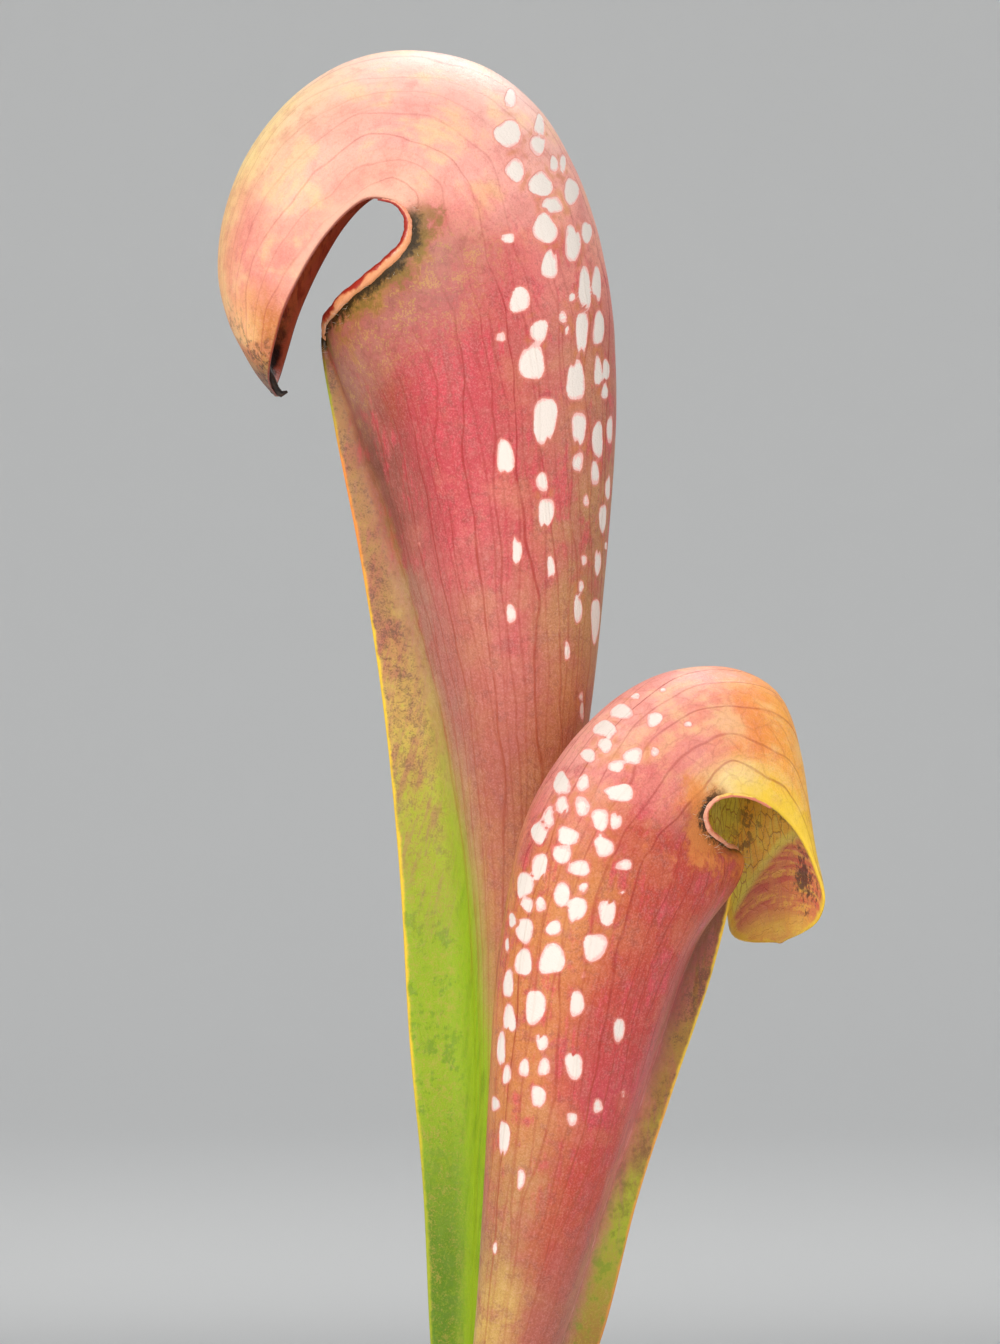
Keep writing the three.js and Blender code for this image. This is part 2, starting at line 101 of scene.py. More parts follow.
camera = bpy.data.objects.new("camera", bpy.data.cameras.new("camera"))
bpy.context.scene.collection.objects.link(camera)
camera.location = eye * MM
camera.rotation_euler = (math.radians(90), 0, 0)
camera.data.sensor_width = SENSOR
camera.data.lens = SENSOR * DISTANCE / (PHOTO_HEIGHT * PIXEL)
camera.data.clip_start = 0.01
bpy.context.scene.camera = camera
print("camera at", [round(v, 1) for v in eye], "mm, lens", round(camera.data.lens, 1))

# %% [markdown]
# ## Stage and light
# A wide bowl of pale paper curves up all round, so that no horizon shows from any side. A large
# soft light from the upper left models the leaves, a small low one lifts their shaded fronts, a
# weaker one fills the right side, and one from above and behind draws their edges. A last one
# behind the plant lights the paper alone. Soft lamps are chosen, because hard ones would draw
# sharp shadows over the marks on the leaves.

# %% Stage and lights
FLOOR_RADIUS = 1.7
BEND_RADIUS = 1.2
WALL_TOP = 3.2
STAGE_SIDES = 96
HEAD = (0, 0, 0.2)
BACKDROP = (0, 2.9, 0.9)
WARM, COOL, WHITE = (1.0, 0.98, 0.95), (0.97, 0.98, 1.0), (1.0, 1.0, 1.0)


def mesh_object(name, points, faces, smooth=True):
    """A mesh object from points in mm."""
    mesh = bpy.data.meshes.new(name)
    mesh.from_pydata((np.asarray(points, float) * MM).tolist(), [], [list(face) for face in faces])
    mesh.update()
    if smooth:
        mesh.shade_smooth()
    thing = bpy.data.objects.new(name, mesh)
    bpy.context.scene.collection.objects.link(thing)
    return thing


def ring_faces(rings, sides, capped=True):
    """Quads between closed rings of points, and a cap over each end ring."""
    k, n = np.meshgrid(np.arange(rings - 1) * sides, np.arange(sides), indexing="ij")
    after = (n + 1) % sides
    faces = np.stack([k + n, k + after, k + sides + after, k + sides + n], -1).reshape(-1, 4).tolist()
    caps = [list(range(sides))[::-1], list(range((rings - 1) * sides, rings * sides))]
    return faces + caps if capped else faces


def turned(profile, sides, capped=True):
    """Points and faces of a profile of (radius, height) turned round the Z axis."""
    angles = np.linspace(0, 2 * np.pi, sides, endpoint=False)
    radius, height = np.array(profile, float).T[:, :, None]
    points = np.stack([radius * np.cos(angles), radius * np.sin(angles), height + 0 * angles], -1)
    return points.reshape(-1, 3), ring_faces(len(points), sides, capped)


bend = [(FLOOR_RADIUS + BEND_RADIUS * math.sin(a), BEND_RADIUS * (1 - math.cos(a)))
        for a in np.linspace(0, math.pi / 2, 13)]
bowl = [(0.001, 0)] + bend + [(FLOOR_RADIUS + BEND_RADIUS, WALL_TOP)]
stage = mesh_object("stage", *turned(np.array(bowl) / MM, STAGE_SIDES, capped=False))
stage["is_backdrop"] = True

for name, place, aim, size, power, colour, spread in (
    ("key light", (-0.75, -1.05, 0.95), HEAD, 0.6, 13, WARM, 180),
    ("low light", (-0.3, -1.15, 0.3), HEAD, 0.4, 3.4, WARM, 180),
    ("fill light", (1.1, -0.8, 0.52), HEAD, 0.75, 5, COOL, 180),
    ("top light", (0.25, 0.7, 1.3), HEAD, 0.8, 3, WHITE, 80),
    ("backdrop light", (0.0, 0.9, 0.75), BACKDROP, 1.1, 4.4, WHITE, 180),
):
    lamp = bpy.data.lights.new(name, "AREA")
    lamp.size = size
    lamp.energy = power
    lamp.color = colour
    lamp.spread = math.radians(spread)
    light = bpy.data.objects.new(name, lamp)
    light.location = place
    light.rotation_euler = (Vector(aim) - Vector(place)).to_track_quat("-Z", "Y").to_euler()
    light.visible_camera = False
    bpy.context.scene.collection.objects.link(light)

world = bpy.data.worlds.new("studio")
world.use_nodes = True
world.node_tree.nodes["Background"].inputs["Color"].default_value = (0.9, 0.93, 1.0, 1)
world.node_tree.nodes["Background"].inputs["Strength"].default_value = 0.5
bpy.context.scene.world = world
bpy.context.scene.view_settings.view_transform = "Standard"
print("stage radius", FLOOR_RADIUS + BEND_RADIUS, "m, 5 soft lights")

# %% [markdown]
# ## A small language for finishes
# A finish is a graph of shader nodes. Writing it as sums and products keeps it readable, so one
# class wraps an output socket and turns each operator into a Math node. Colours go through Mix
# nodes instead, because a Math node would turn them grey.

# %% The finish helper


class Wire:
    """An output socket. Arithmetic on it adds Math nodes."""

    def __init__(self, finish, socket):
        self.finish = finish
        self.socket = socket

    def maths(self, operation, *values):
        return self.finish.node("ShaderNodeMath", {"operation": operation}, dict(enumerate(values)))

    def __add__(self, other):
        return self.maths("ADD", self, other)

    def __radd__(self, other):
        return self.maths("ADD", other, self)

    def __sub__(self, other):
        return self.maths("SUBTRACT", self, other)

    def __rsub__(self, other):
        return self.maths("SUBTRACT", other, self)

    def __mul__(self, other):
        return self.maths("MULTIPLY", self, other)

    def __rmul__(self, other):
        return self.maths("MULTIPLY", other, self)

    def __truediv__(self, other):
        return self.maths("DIVIDE", self, other)

    def __rtruediv__(self, other):
        return self.maths("DIVIDE", other, self)

    def __abs__(self):
        return self.maths("ABSOLUTE", self)


def least(a, b):
    return a.maths("MINIMUM", a, b)


def most(a, b):
    return a.maths("MAXIMUM", a, b)


def rgb(red, green, blue):
    """A colour of 0 to 255 as the eye reads it, as the shader's linear colour."""
    return (*[((v / 255 + 0.055) / 1.055) ** 2.4 if v > 10 else v / 3295 for v in (red, green, blue)], 1)


class Finish:
    """One material. node adds any node: its type, its settings and its sockets."""

    def __init__(self, name):
        self.material = bpy.data.materials.new(name)
        self.material.use_nodes = True
        self.tree = self.material.node_tree
        self.shader = self.tree.nodes["Principled BSDF"]

    def node(self, kind, settings=None, sockets=None, out=0):
        node = self.tree.nodes.new(kind)
        for key, value in (settings or {}).items():
            if key == "stops":
                self.stops(node.color_ramp, value)
            else:
                setattr(node, key, value)
        for key, value in (sockets or {}).items():
            self.plug(node.inputs[key], value)
        return Wire(self, node.outputs[out])

    def stops(self, ramp, stops):
        while len(ramp.elements) < len(stops):
            ramp.elements.new(1)
        for element, (place, colour) in zip(ramp.elements, stops):
            element.position = place
            element.color = colour

    def plug(self, socket, value):
        if isinstance(value, Wire):
            self.tree.links.new(value.socket, socket)
        else:
            socket.default_value = value

    def set(self, **values):
        for key, value in values.items():
            self.plug(self.shader.inputs[key.replace("_", " ")], value)

    def attribute(self, name):
        return self.node("ShaderNodeAttribute", {"attribute_name": name}, out="Fac")

    def place(self):
        """The point in the object's own frame, in metres."""
        return self.node("ShaderNodeTexCoord", out="Object")

    def vector(self, x, y, z):
        return self.node("ShaderNodeCombineXYZ", sockets={0: x, 1: y, 2: z})

    def noise(self, at, scale, detail, rough=0.5):
        """A noise about 0, seldom past 0.3 either way."""
        sockets = {"Vector": at, "Scale": scale, "Detail": detail, "Roughness": rough}
        return self.node("ShaderNodeTexNoise", None, sockets) - 0.5

    def step(self, value, start, end):
        """0 before start, 1 after end, smooth between."""
        sockets = {"Value": value, "From Min": start, "From Max": end}
        return self.node("ShaderNodeMapRange", {"interpolation_type": "SMOOTHSTEP"}, sockets)

    def fade(self, value, start, end):
        """1 before start, 0 after end, smooth between."""
        return 1 - self.step(value, start, end)

    def ramp(self, value, stops):
        return self.node("ShaderNodeValToRGB", {"stops": stops}, {"Fac": value})

    def mix(self, factor, first, second):
        return self.node("ShaderNodeMix", {"data_type": "RGBA"}, {0: factor, 6: first, 7: second}, out=2)

    def layers(self, body, *coats):
        """Lays colours over a body colour, one after another, each where its mask says."""
        for mask, colour in coats:
            body = self.mix(mask, body, colour)
        return body

    def bump(self, height, distance, strength):
        sockets = {"Height": height, "Distance": distance, "Strength": strength}
        return self.node("ShaderNodeBump", None, sockets)


paper = Finish("pale paper")
paper.set(Base_Color=rgb(224, 224, 222), Roughness=0.9)
stage.data.materials.append(paper.material)
print("finish helper ready")

# %% [markdown]
# ## The shape of a leaf
# A pitcher is a rolled leaf. It could be sculpted, but then no number would say how tall or wide
# it is, so it is made from a row of sections. Each station gives the back and the front of a
# section in the leaf's own plane, its width, how far its two edges are open, and the wing. A smooth
# curve runs through the stations, and the same numbers stand in the solids that carry the part.
# Below the lip a section is a closed tube with a keel, and above it the section opens into the
# hood.

# %% Stations of the two leaves
# A station, in mm: how far forward and up its back is, the same for its front, half its width, how
# many degrees each half goes round from the back, the wing's depth, and the tilt to the side.
# foot is the place of the leaf's foot. facing and lean are degrees. lip and floor are the stations
# of the lip and of the hollow's floor. windows are the stations between which the windows lie.
TALL = SimpleNamespace(
    name="pitcher_tall", foot=(1.8, 6.0, CROWN_HEIGHT), facing=178, lean=0,
    lip=11, floor=4, windows=(7.4, 16.5),
    stations=np.array([
        [-3.1, -3.6, 2.6, -3.6, 2.6, 180, 0.3, 0],
        [-2.8, 7.2, 2, 7.2, 2.3, 180, 1, 0],
        [-2.9, 25.2, 1.6, 25.2, 2.2, 180, 2.6, 0],
        [-3.4, 43.2, 1.2, 43.2, 2.3, 180, 4, 0],
        [-4.2, 57, 1.1, 57, 2.6, 180, 5, 0],
        [-5.6, 74.1, 0.7, 74, 3.2, 180, 6.2, 0],
        [-7.6, 91.2, 0.8, 91.2, 4, 180, 7.7, 0],
        [-10.3, 111.6, 1.9, 111.6, 5.7, 180, 7.8, 0],
        [-13.3, 130.8, 5.2, 130.8, 8.2, 180, 6.4, 0],
        [-15.2, 149, 9.9, 149, 10.5, 180, 4.5, 0],
        [-16.3, 164.4, 14.9, 164.7, 12.1, 180, 2.6, 0],
        [-16.2, 174.6, 18.5, 175.5, 12.8, 180, 0.6, 0],
        [-15.8, 179.4, 16.9, 179, 12.9, 152, 0, 0.03],
        [-15.1, 183.8, 12.3, 182.9, 12.9, 126, 0, 0.07],
        [-13.8, 189.3, 8.7, 186.5, 12.8, 113, 0, 0.1],
        [-11.4, 195.8, 8, 189.6, 12.6, 106, 0, 0.12],
        [-7.2, 202.8, 8.9, 191.4, 12.5, 101, 0, 0.12],
        [-0.6, 208, 10.4, 192.2, 12.4, 98, 0, 0.12],
        [7.8, 210, 12.8, 192.3, 12.3, 97, 0, 0.12],
        [15.6, 208.8, 15, 190.9, 12.2, 96, 0, 0.12],
        [22.4, 204.6, 17.2, 188.5, 12, 95, 0, 0.11],
        [27.7, 198.1, 19.1, 185.7, 11.8, 94, 0, 0.09],
        [30.7, 190.7, 21, 182.2, 11.4, 93, 0, 0.07],
        [31.5, 183.5, 22.7, 178.4, 10.8, 92, 0, 0.04],
        [30.3, 177.7, 23.8, 174.7, 9.8, 92, 0, 0.02],
        [28.3, 173.5, 24.6, 171.6, 8, 92, 0, 0],
        [26.6, 170.7, 24.9, 169.7, 4.5, 92, 0, 0],
        [24.7, 168.5, 24.3, 168.5, 0.8, 92, 0, 0],
    ]),
)
SHORT = SimpleNamespace(
    name="pitcher_short", foot=(-2.0, -7.0, CROWN_HEIGHT), facing=30, lean=7,
    lip=9, floor=3, windows=(4.8, 15.0),
    stations=np.array([
        [-2.2, -3.5, 3.8, -3.5, 2.6, 180, 0.3, 0],
        [-1.7, 10.9, 3.6, 9.9, 2.3, 180, 1.2, 0],
        [-0.8, 23, 4.7, 22.3, 2.4, 180, 2.8, 0],
        [0.6, 35, 6.7, 34.4, 2.9, 180, 4.4, 0],
        [2.4, 46.5, 10.4, 45.8, 3.5, 180, 5.6, 0],
        [4.2, 58, 15.3, 57.3, 4.4, 180, 6, 0],
        [5.6, 73, 20.9, 72.2, 6.2, 180, 4.9, 0],
        [6.6, 86, 26.2, 84.9, 7.8, 180, 4.5, 0],
        [7.8, 101, 32, 99.4, 9.2, 180, 4.4, 0],
        [10, 113, 39.2, 111.3, 9.9, 180, 0, 0],
        [11.4, 117.1, 35.1, 114.2, 10, 152, 0, 0],
        [13.3, 120.7, 30.9, 116.6, 10, 128, 0, 0],
        [16, 124.4, 29.3, 118.9, 10, 113, 0, 0],
        [19.7, 128.4, 30, 120.5, 10, 105, 0, 0],
        [25.2, 132.4, 31.7, 121.1, 10.1, 100, 0, 0],
        [31.2, 134.6, 34.1, 120.7, 10.2, 97, 0, 0.02],
        [38.1, 134.6, 36.5, 119.6, 10.2, 94, 0, 0.04],
        [43.3, 132.1, 39, 117.7, 10.2, 91, 0, 0.07],
        [45, 127.4, 41.3, 115.1, 10.2, 88, 0, 0.1],
        [45.3, 122, 42.9, 112.2, 10.4, 84, 0, 0.14],
        [45.4, 116.1, 44, 109.1, 10.8, 80, 0, 0.18],
        [46, 110.5, 45, 105.8, 10.9, 78, 0, 0.22],
        [46, 105.9, 45, 103.1, 9.8, 78, 0, 0.25],
        [46.2, 102.6, 45.2, 101.8, 6.6, 78, 0, 0.26],
        [45.9, 100.9, 45.8, 101.1, 0.8, 78, 0, 0.26],
    ]),
)
print("stations:", len(TALL.stations), "tall,", len(SHORT.stations), "short")

# %% Section maths
WING_SHARE = 0.8
WING_ANGLE = 0.94
WING_THICKNESS = 0.7
TAPER_FROM = 0.35
TAPER_SHARE = 0.7


def smooth(value, start, end):
    """0 before start, 1 after end, smooth between."""
    f = np.clip((value - start) / (end - start), 0, 1)
    return f * f * (3 - 2 * f)


def station_at(stations, t):
    """A Catmull-Rom curve through the stations, at each t of an array."""
    last = len(stations) - 1
    t = np.clip(t, 0, last)
    k = np.minimum(t.astype(int), last - 1)
    f = (t - k)[:, None]
    before, start = stations[np.maximum(k - 1, 0)], stations[k]
    end, after = stations[k + 1], stations[np.minimum(k + 2, last)]
    return 0.5 * (2 * start + (end - before) * f + (2 * before - 5 * start + 4 * end - after) * f ** 2
                  + (3 * start - before - 3 * end + after) * f ** 3)


def section_points(leaf, t, share, inset, winged):
    """Points in mm for rows t and shares from -1 to 1 across, at a depth under the outer face."""
    rows = station_at(leaf.stations, t)[:, :, None]
    back = rows[:, 0:2]
    front = rows[:, 2:4]
    half_width, opening, wing, rise = rows[:, 4], rows[:, 5], np.maximum(rows[:, 6], 0), rows[:, 7]
    span = np.linalg.norm(front - back, axis=1)
    along = (front - back) / span[:, None]
    angle = np.radians(np.minimum(opening, 180))
    depth = 2 * span / (1 - np.cos(angle))
    skin = np.minimum(np.minimum(inset, 0.45 * half_width), 0.2 * depth)
    half = depth / 2 - skin
    width = half_width - skin
    across = np.abs(share)[None, :]
    tight = smooth(t, leaf.lip, leaf.lip + 2)[:, None]
    wing_angle = WING_ANGLE * (1 - tight) + WING_SHARE * tight
    turn = np.where(across <= WING_SHARE, wing_angle * across / WING_SHARE,
                    1 - (1 - wing_angle) * (1 - across) / (1 - WING_SHARE))
    distance = depth / 2 - half * np.cos(angle * turn)
    side = width * np.sin(angle * turn)
    closed = (t <= leaf.lip)[:, None]
    if winged:
        start = depth / 2 - half * np.cos(np.pi * WING_ANGLE)
        keel_step = np.clip((across - WING_SHARE) / (1 - WING_SHARE), 0, 1)
        keel = start + (depth + wing - start) * np.sin(keel_step * np.pi / 2)
        reach = np.where(across > WING_SHARE, keel, distance)
        round_part = np.clip((reach - depth / 2) / half, -1, 1)
        edge = np.clip((depth + wing - reach) / (WING_THICKNESS / 2), 0, 1)
        thick = WING_THICKNESS / 2 * np.sqrt(1 - (1 - edge) ** 2) * smooth(reach, 0.6 * depth, 0.9 * depth)
        tube = tapered(width, (reach - depth / 2) / half, width * np.sqrt(1 - round_part ** 2), wing, half)
        distance = np.where(closed, reach, distance)
        side = np.where(closed, np.hypot(tube, thick) * (across < 1), side)
    else:
        narrowed = tapered(width, (distance - depth / 2) / half, side, wing, half)
        side = np.where(closed & (across < 1), narrowed, side)
    side = side * np.sign(share)[None, :]
    forward = back[:, 0] + along[:, 0] * distance
    up = back[:, 1] + along[:, 1] * distance + rise * side
    return place_points(leaf, np.stack([forward, side, up], -1))


def tapered(width, along, ellipse, wing, half):
    """Lets the front of a tube run smoothly into its wing, where an ellipse would meet it in a corner."""
    end = 1 + 0.35 * wing / half
    f = np.clip((along - TAPER_FROM) / (end - TAPER_FROM), 0, 1)
    start = width * math.sqrt(1 - TAPER_FROM ** 2)
    slope = -width * TAPER_FROM / math.sqrt(1 - TAPER_FROM ** 2) * (end - TAPER_FROM)
    taper = start * (2 * f ** 3 - 3 * f ** 2 + 1) + slope * (f ** 3 - 2 * f ** 2 + f)
    share = TAPER_SHARE * smooth(wing, 0.5, 4) * (along > TAPER_FROM)
    return ellipse + (np.maximum(taper, 0) - ellipse) * share


def place_points(leaf, local):
    """Forward, side and up in the leaf's own space to the row's frame, in mm."""
    facing = math.radians(leaf.facing)
    lean = math.radians(leaf.lean)
    x = local[..., 0] * math.cos(facing) + local[..., 1] * math.sin(facing)
    y = local[..., 0] * math.sin(facing) - local[..., 1] * math.cos(facing)
    z = local[..., 2]
    behind = y * math.cos(lean) - z * math.sin(lean)
    up = y * math.sin(lean) + z * math.cos(lean)
    return np.stack([x, behind, up], -1) + np.array(leaf.foot)


print("a section's wing starts at", WING_SHARE, "of the way round each half")

# %% [markdown]
# ## Grids over the leaves
# Each leaf becomes two grids of points: one on its outer face, and one a wall's thickness under
# it. Subdividing a coarse mesh could make them too, but it would round off the keel and the lip.
# Here the rows stand close together where the windows and the lip need detail, and wide apart
# near the foot, and the columns are dense over the back and coarse near the front.

# %% Leaf grids
BACK_COLUMNS = 64
SIDE_COLUMNS = 20
WING_COLUMNS = 8
COLUMNS = BACK_COLUMNS + SIDE_COLUMNS + WING_COLUMNS
BACK_SHARE = 0.5
WALL = 0.5


def rows_of(leaf):
    """Row values up the leaf, each span in an even count of steps of about its spacing in mm."""
    last = len(leaf.stations) - 1
    low, high = leaf.windows
    spans = [(0, leaf.floor, 3.0), (leaf.floor, low, 1.4), (low, leaf.lip, 0.6),
             (leaf.lip, high, 0.55), (high, last, 1.0)]
    rows = []
    for start, end, spacing in spans:
        fine = np.linspace(start, end, 400)
        middle = section_points(leaf, fine, np.array([0.0, 0.45]), 0, False).mean(1)
        length = np.concatenate([[0], np.cumsum(np.linalg.norm(np.diff(middle, axis=0), axis=1))])
        steps = 2 * int(length[-1] / spacing / 2 + 1)
        rows.append(np.interp(np.linspace(0, length[-1], steps + 1), length, fine)[:-1])
    return np.concatenate(rows + [[float(last)]])


def half_shares():
    """Shares from 0 to 1: dense over the back, where the windows are, and coarse near the front."""
    back = np.linspace(0, BACK_SHARE, BACK_COLUMNS, endpoint=False)
    side = np.linspace(BACK_SHARE, WING_SHARE, SIDE_COLUMNS, endpoint=False)
    return np.concatenate([back, side, np.linspace(WING_SHARE, 1, WING_COLUMNS + 1)])


for leaf in (TALL, SHORT):
    leaf.rows = rows_of(leaf)
    leaf.shares = np.concatenate([-half_shares()[:0:-1], half_shares()])
    leaf.outer = section_points(leaf, leaf.rows, leaf.shares, 0, True)
    leaf.inner = section_points(leaf, leaf.rows, leaf.shares, WALL, False)
    print(leaf.name, "grid", leaf.outer.shape[:2], "top at", round(leaf.outer[..., 2].max(), 1), "mm")

# %% [markdown]
# ## Windows
# The pale patches behind the hood are windows, where the leaf has no green or red. Each was read
# off the photograph as a centre and a size in pixels. They could be painted on a flat map of the
# leaf, but it would stretch them. Here a patch is put back on the curved surface where the camera
# sees it, and its size is stretched by how far the surface turns away there. Two patches never
# touch, because a band of tissue stays between the nearest two. The side that the camera doesn't
# see gets the same patches, shifted a little by a seeded draw.

# %% Window positions
TALL_WINDOWS = [
    (511, 97, 12, 18), (508, 133, 28, 24), (540, 124, 10, 22), (538, 144, 15, 22), (554, 164, 8, 17),
    (563, 163, 6, 20), (515, 170, 20, 21), (541, 184, 22, 25), (553, 205, 19, 17), (572, 191, 14, 28),
    (545, 229, 24, 28), (573, 243, 17, 34), (587, 232, 10, 22), (550, 265, 17, 28), (508, 238, 13, 11),
    (585, 288, 12, 46), (597, 283, 9, 34), (572, 297, 6, 10), (563, 317, 8, 14), (567, 330, 5, 10),
    (520, 300, 20, 26), (539, 331, 17, 23), (501, 337, 10, 11), (582, 332, 12, 48),
    (599, 328, 11, 34), (532, 362, 24, 38), (576, 381, 17, 43), (598, 371, 7, 31), (606, 370, 7, 23),
    (605, 392, 7, 15), (545, 420, 24, 48), (579, 428, 13, 36), (598, 440, 10, 38), (610, 430, 6, 28),
    (578, 462, 11, 20), (595, 474, 8, 26), (505, 457, 17, 35), (542, 482, 12, 19), (546, 512, 15, 30),
    (586, 501, 6, 13), (608, 488, 5, 24), (603, 518, 7, 29), (606, 546, 3, 7), (517, 550, 10, 25),
    (551, 567, 8, 22), (584, 560, 6, 12), (598, 562, 7, 24), (581, 586, 6, 12), (511, 614, 10, 20),
    (578, 610, 8, 28), (596, 620, 9, 48), (567, 651, 6, 17), (419, 545, 3, 5), (581, 696, 4, 8),
    (582, 712, 4, 18),
]
SHORT_WINDOWS = [
    (636, 696, 9, 7), (663, 690, 6, 5), (621, 711, 21, 16), (654, 719, 16, 14), (688, 724, 8, 6),
    (604, 728, 21, 17), (605, 745, 14, 15), (588, 755, 15, 14), (633, 756, 20, 17), (655, 752, 9, 9),
    (616, 766, 16, 13), (561, 783, 16, 24), (583, 783, 13, 17), (619, 793, 29, 18), (562, 805, 14, 17),
    (582, 806, 15, 20), (548, 818, 12, 22), (539, 832, 15, 24), (600, 819, 18, 21), (616, 821, 13, 16),
    (568, 836, 22, 18), (562, 854, 20, 17), (604, 847, 20, 20), (539, 866, 16, 25), (579, 868, 24, 15),
    (624, 865, 16, 11), (524, 885, 15, 28), (562, 895, 17, 25), (583, 887, 10, 9), (577, 909, 19, 25),
    (527, 904, 12, 15), (541, 905, 10, 16), (607, 912, 19, 24), (512, 920, 7, 15), (524, 930, 18, 23),
    (554, 928, 15, 15), (595, 947, 23, 28), (507, 945, 4, 15), (523, 962, 16, 28), (552, 959, 25, 31),
    (508, 984, 10, 28), (622, 892, 3, 3), (583, 975, 3, 3), (535, 1007, 19, 35), (577, 1004, 15, 25),
    (619, 1030, 11, 24), (542, 1042, 12, 17), (509, 1018, 12, 27), (501, 1049, 9, 33), (507, 1074, 9, 19),
    (524, 1068, 10, 19), (544, 1067, 12, 19), (574, 1066, 17, 27), (538, 1097, 14, 24), (598, 1106, 9, 15),
    (572, 1119, 10, 14), (623, 1094, 4, 7), (495, 1104, 8, 15), (504, 1138, 10, 36), (521, 1179, 8, 20),
    (495, 1248, 4, 12),
]
print("windows:", len(TALL_WINDOWS), "tall,", len(SHORT_WINDOWS), "short")

# %% Windows on the surface
WINDOW_SEED = 7
WINDOW_REACH = 1.5
WINDOW_SQUARE = 2.5
WINDOW_LEAST = 0.3
WINDOW_MOST = 2.6
TISSUE_HALF = 0.11
NOTCHED_FROM = 0.8


def grid_frames(grid):
    """Unit vectors round the leaf, square to that up the leaf, and outward, at every grid point."""
    round_way = np.gradient(grid, axis=1)
    round_way /= np.linalg.norm(round_way, axis=2, keepdims=True) + 1e-9
    normal = np.cross(round_way, np.gradient(grid, axis=0))
    normal /= np.linalg.norm(normal, axis=2, keepdims=True) + 1e-9
    return round_way, np.cross(normal, round_way), normal


def window_shape(grid, centre, axes, sizes, phase):
    """About how many mm every grid point lies inside one window, or outside if less than 0."""
    offset = grid - centre
    u = offset @ axes[0] / sizes[0]
    v = offset @ axes[1] / sizes[1]
    angle = np.arctan2(v, u)
    lobes = 1 + 0.07 * np.sin(2 * angle + phase) + 0.08 * np.sin(3 * angle + 2.7 * phase)
    squarish = (np.abs(u) ** WINDOW_SQUARE + np.abs(v) ** WINDOW_SQUARE) ** (1 / WINDOW_SQUARE)
    mean_size = math.sqrt(sizes[0] * sizes[1])
    inside = (1 - squarish * lobes) * mean_size
    side = math.copysign(1, math.sin(phase * 1.7))
    notch = (1 - smooth(np.abs(v - 0.3 * math.sin(phase)), 0, 0.26)) * smooth(u * side, 0.2, 0.9)
    notched = mean_size > NOTCHED_FROM and math.sin(phase * 5.3) > -0.2
    return np.where(np.abs(offset @ axes[2]) < 4, inside - notch * 0.5 * notched, -WINDOW_REACH)


def window_field(leaf, windows):
    """How far every outer point lies inside its window, with tissue kept between the windows."""
    grid = leaf.outer
    round_way, up_way, normal = grid_frames(grid)
    towards = eye - grid
    facing = (normal * towards).sum(2) / np.linalg.norm(towards, axis=2)
    pixels = photo_pixels(grid)
    draw = np.random.default_rng(WINDOW_SEED)
    first = np.full(grid.shape[:2], -WINDOW_REACH)
    second = first.copy()

    def add(i, j, shift, axes, sizes, phase):
        flat = np.stack([round_way[i, j], up_way[i, j]])
        ways = [*(axes.T @ flat), normal[i, j]]
        inside = window_shape(grid, grid[i, j] + shift @ flat, ways, sizes, phase)
        np.maximum(second, np.minimum(first, inside), out=second)
        np.maximum(first, inside, out=first)

    for px, py, width, height in windows:
        miss = np.where(facing > 0, ((pixels - (px, py)) ** 2).sum(2), np.inf)
        i, j = np.unravel_index(miss.argmin(), miss.shape)
        to_pixels = np.stack([
            photo_pixels(grid[i, j] + round_way[i, j]) - pixels[i, j],
            photo_pixels(grid[i, j] + up_way[i, j]) - pixels[i, j],
        ], 1)
        shift = np.linalg.lstsq(to_pixels, (px, py) - pixels[i, j], rcond=0.15)[0]
        form = to_pixels.T @ np.diag([4 / width ** 2, 4 / height ** 2]) @ to_pixels
        strengths, axes = np.linalg.eigh(form)
        sizes = np.clip(strengths ** -0.5, WINDOW_LEAST, WINDOW_MOST)
        add(i, j, shift, axes, sizes, px + py)
        scale = draw.uniform(0.8, 1.2)
        a = int(np.clip(i + draw.normal(0, 5), 0, len(grid) - 1))
        b = int(np.clip(2 * COLUMNS - j + draw.normal(0, 4), 0, 2 * COLUMNS))
        if facing[a, b] < -0.12 and first[a, b] < -0.3 and sizes.min() > WINDOW_LEAST:
            add(a, b, np.zeros(2), axes * ((-1,), (1,)), sizes * scale, px - py)
    return np.minimum(first, (first - second) * 0.6 - 1.2 * TISSUE_HALF), second


for leaf, windows in ((TALL, TALL_WINDOWS), (SHORT, SHORT_WINDOWS)):
    leaf.window, leaf.crowd = window_field(leaf, windows)
    print(leaf.name, "window share of the grid:", round(float((leaf.window > 0).mean()), 3))

# %% [markdown]
# ## Maps over the leaf
# The finish needs to know where on the leaf a point is. Each point carries how far up the leaf it
# lies (0 to 1 on the tube, 1 to 2 over the hood), how far round from the back, the distance to
# the mouth's edge, how far out on the wing, and the distance to the wing's rim. The veins follow
# a lane of their own: at the lip the front lanes end, and the back lanes go on over the hood.

# %% Leaf maps
LANES_END = 4
FAR_FROM_EDGE = 30.0
NO_WING = 5.0


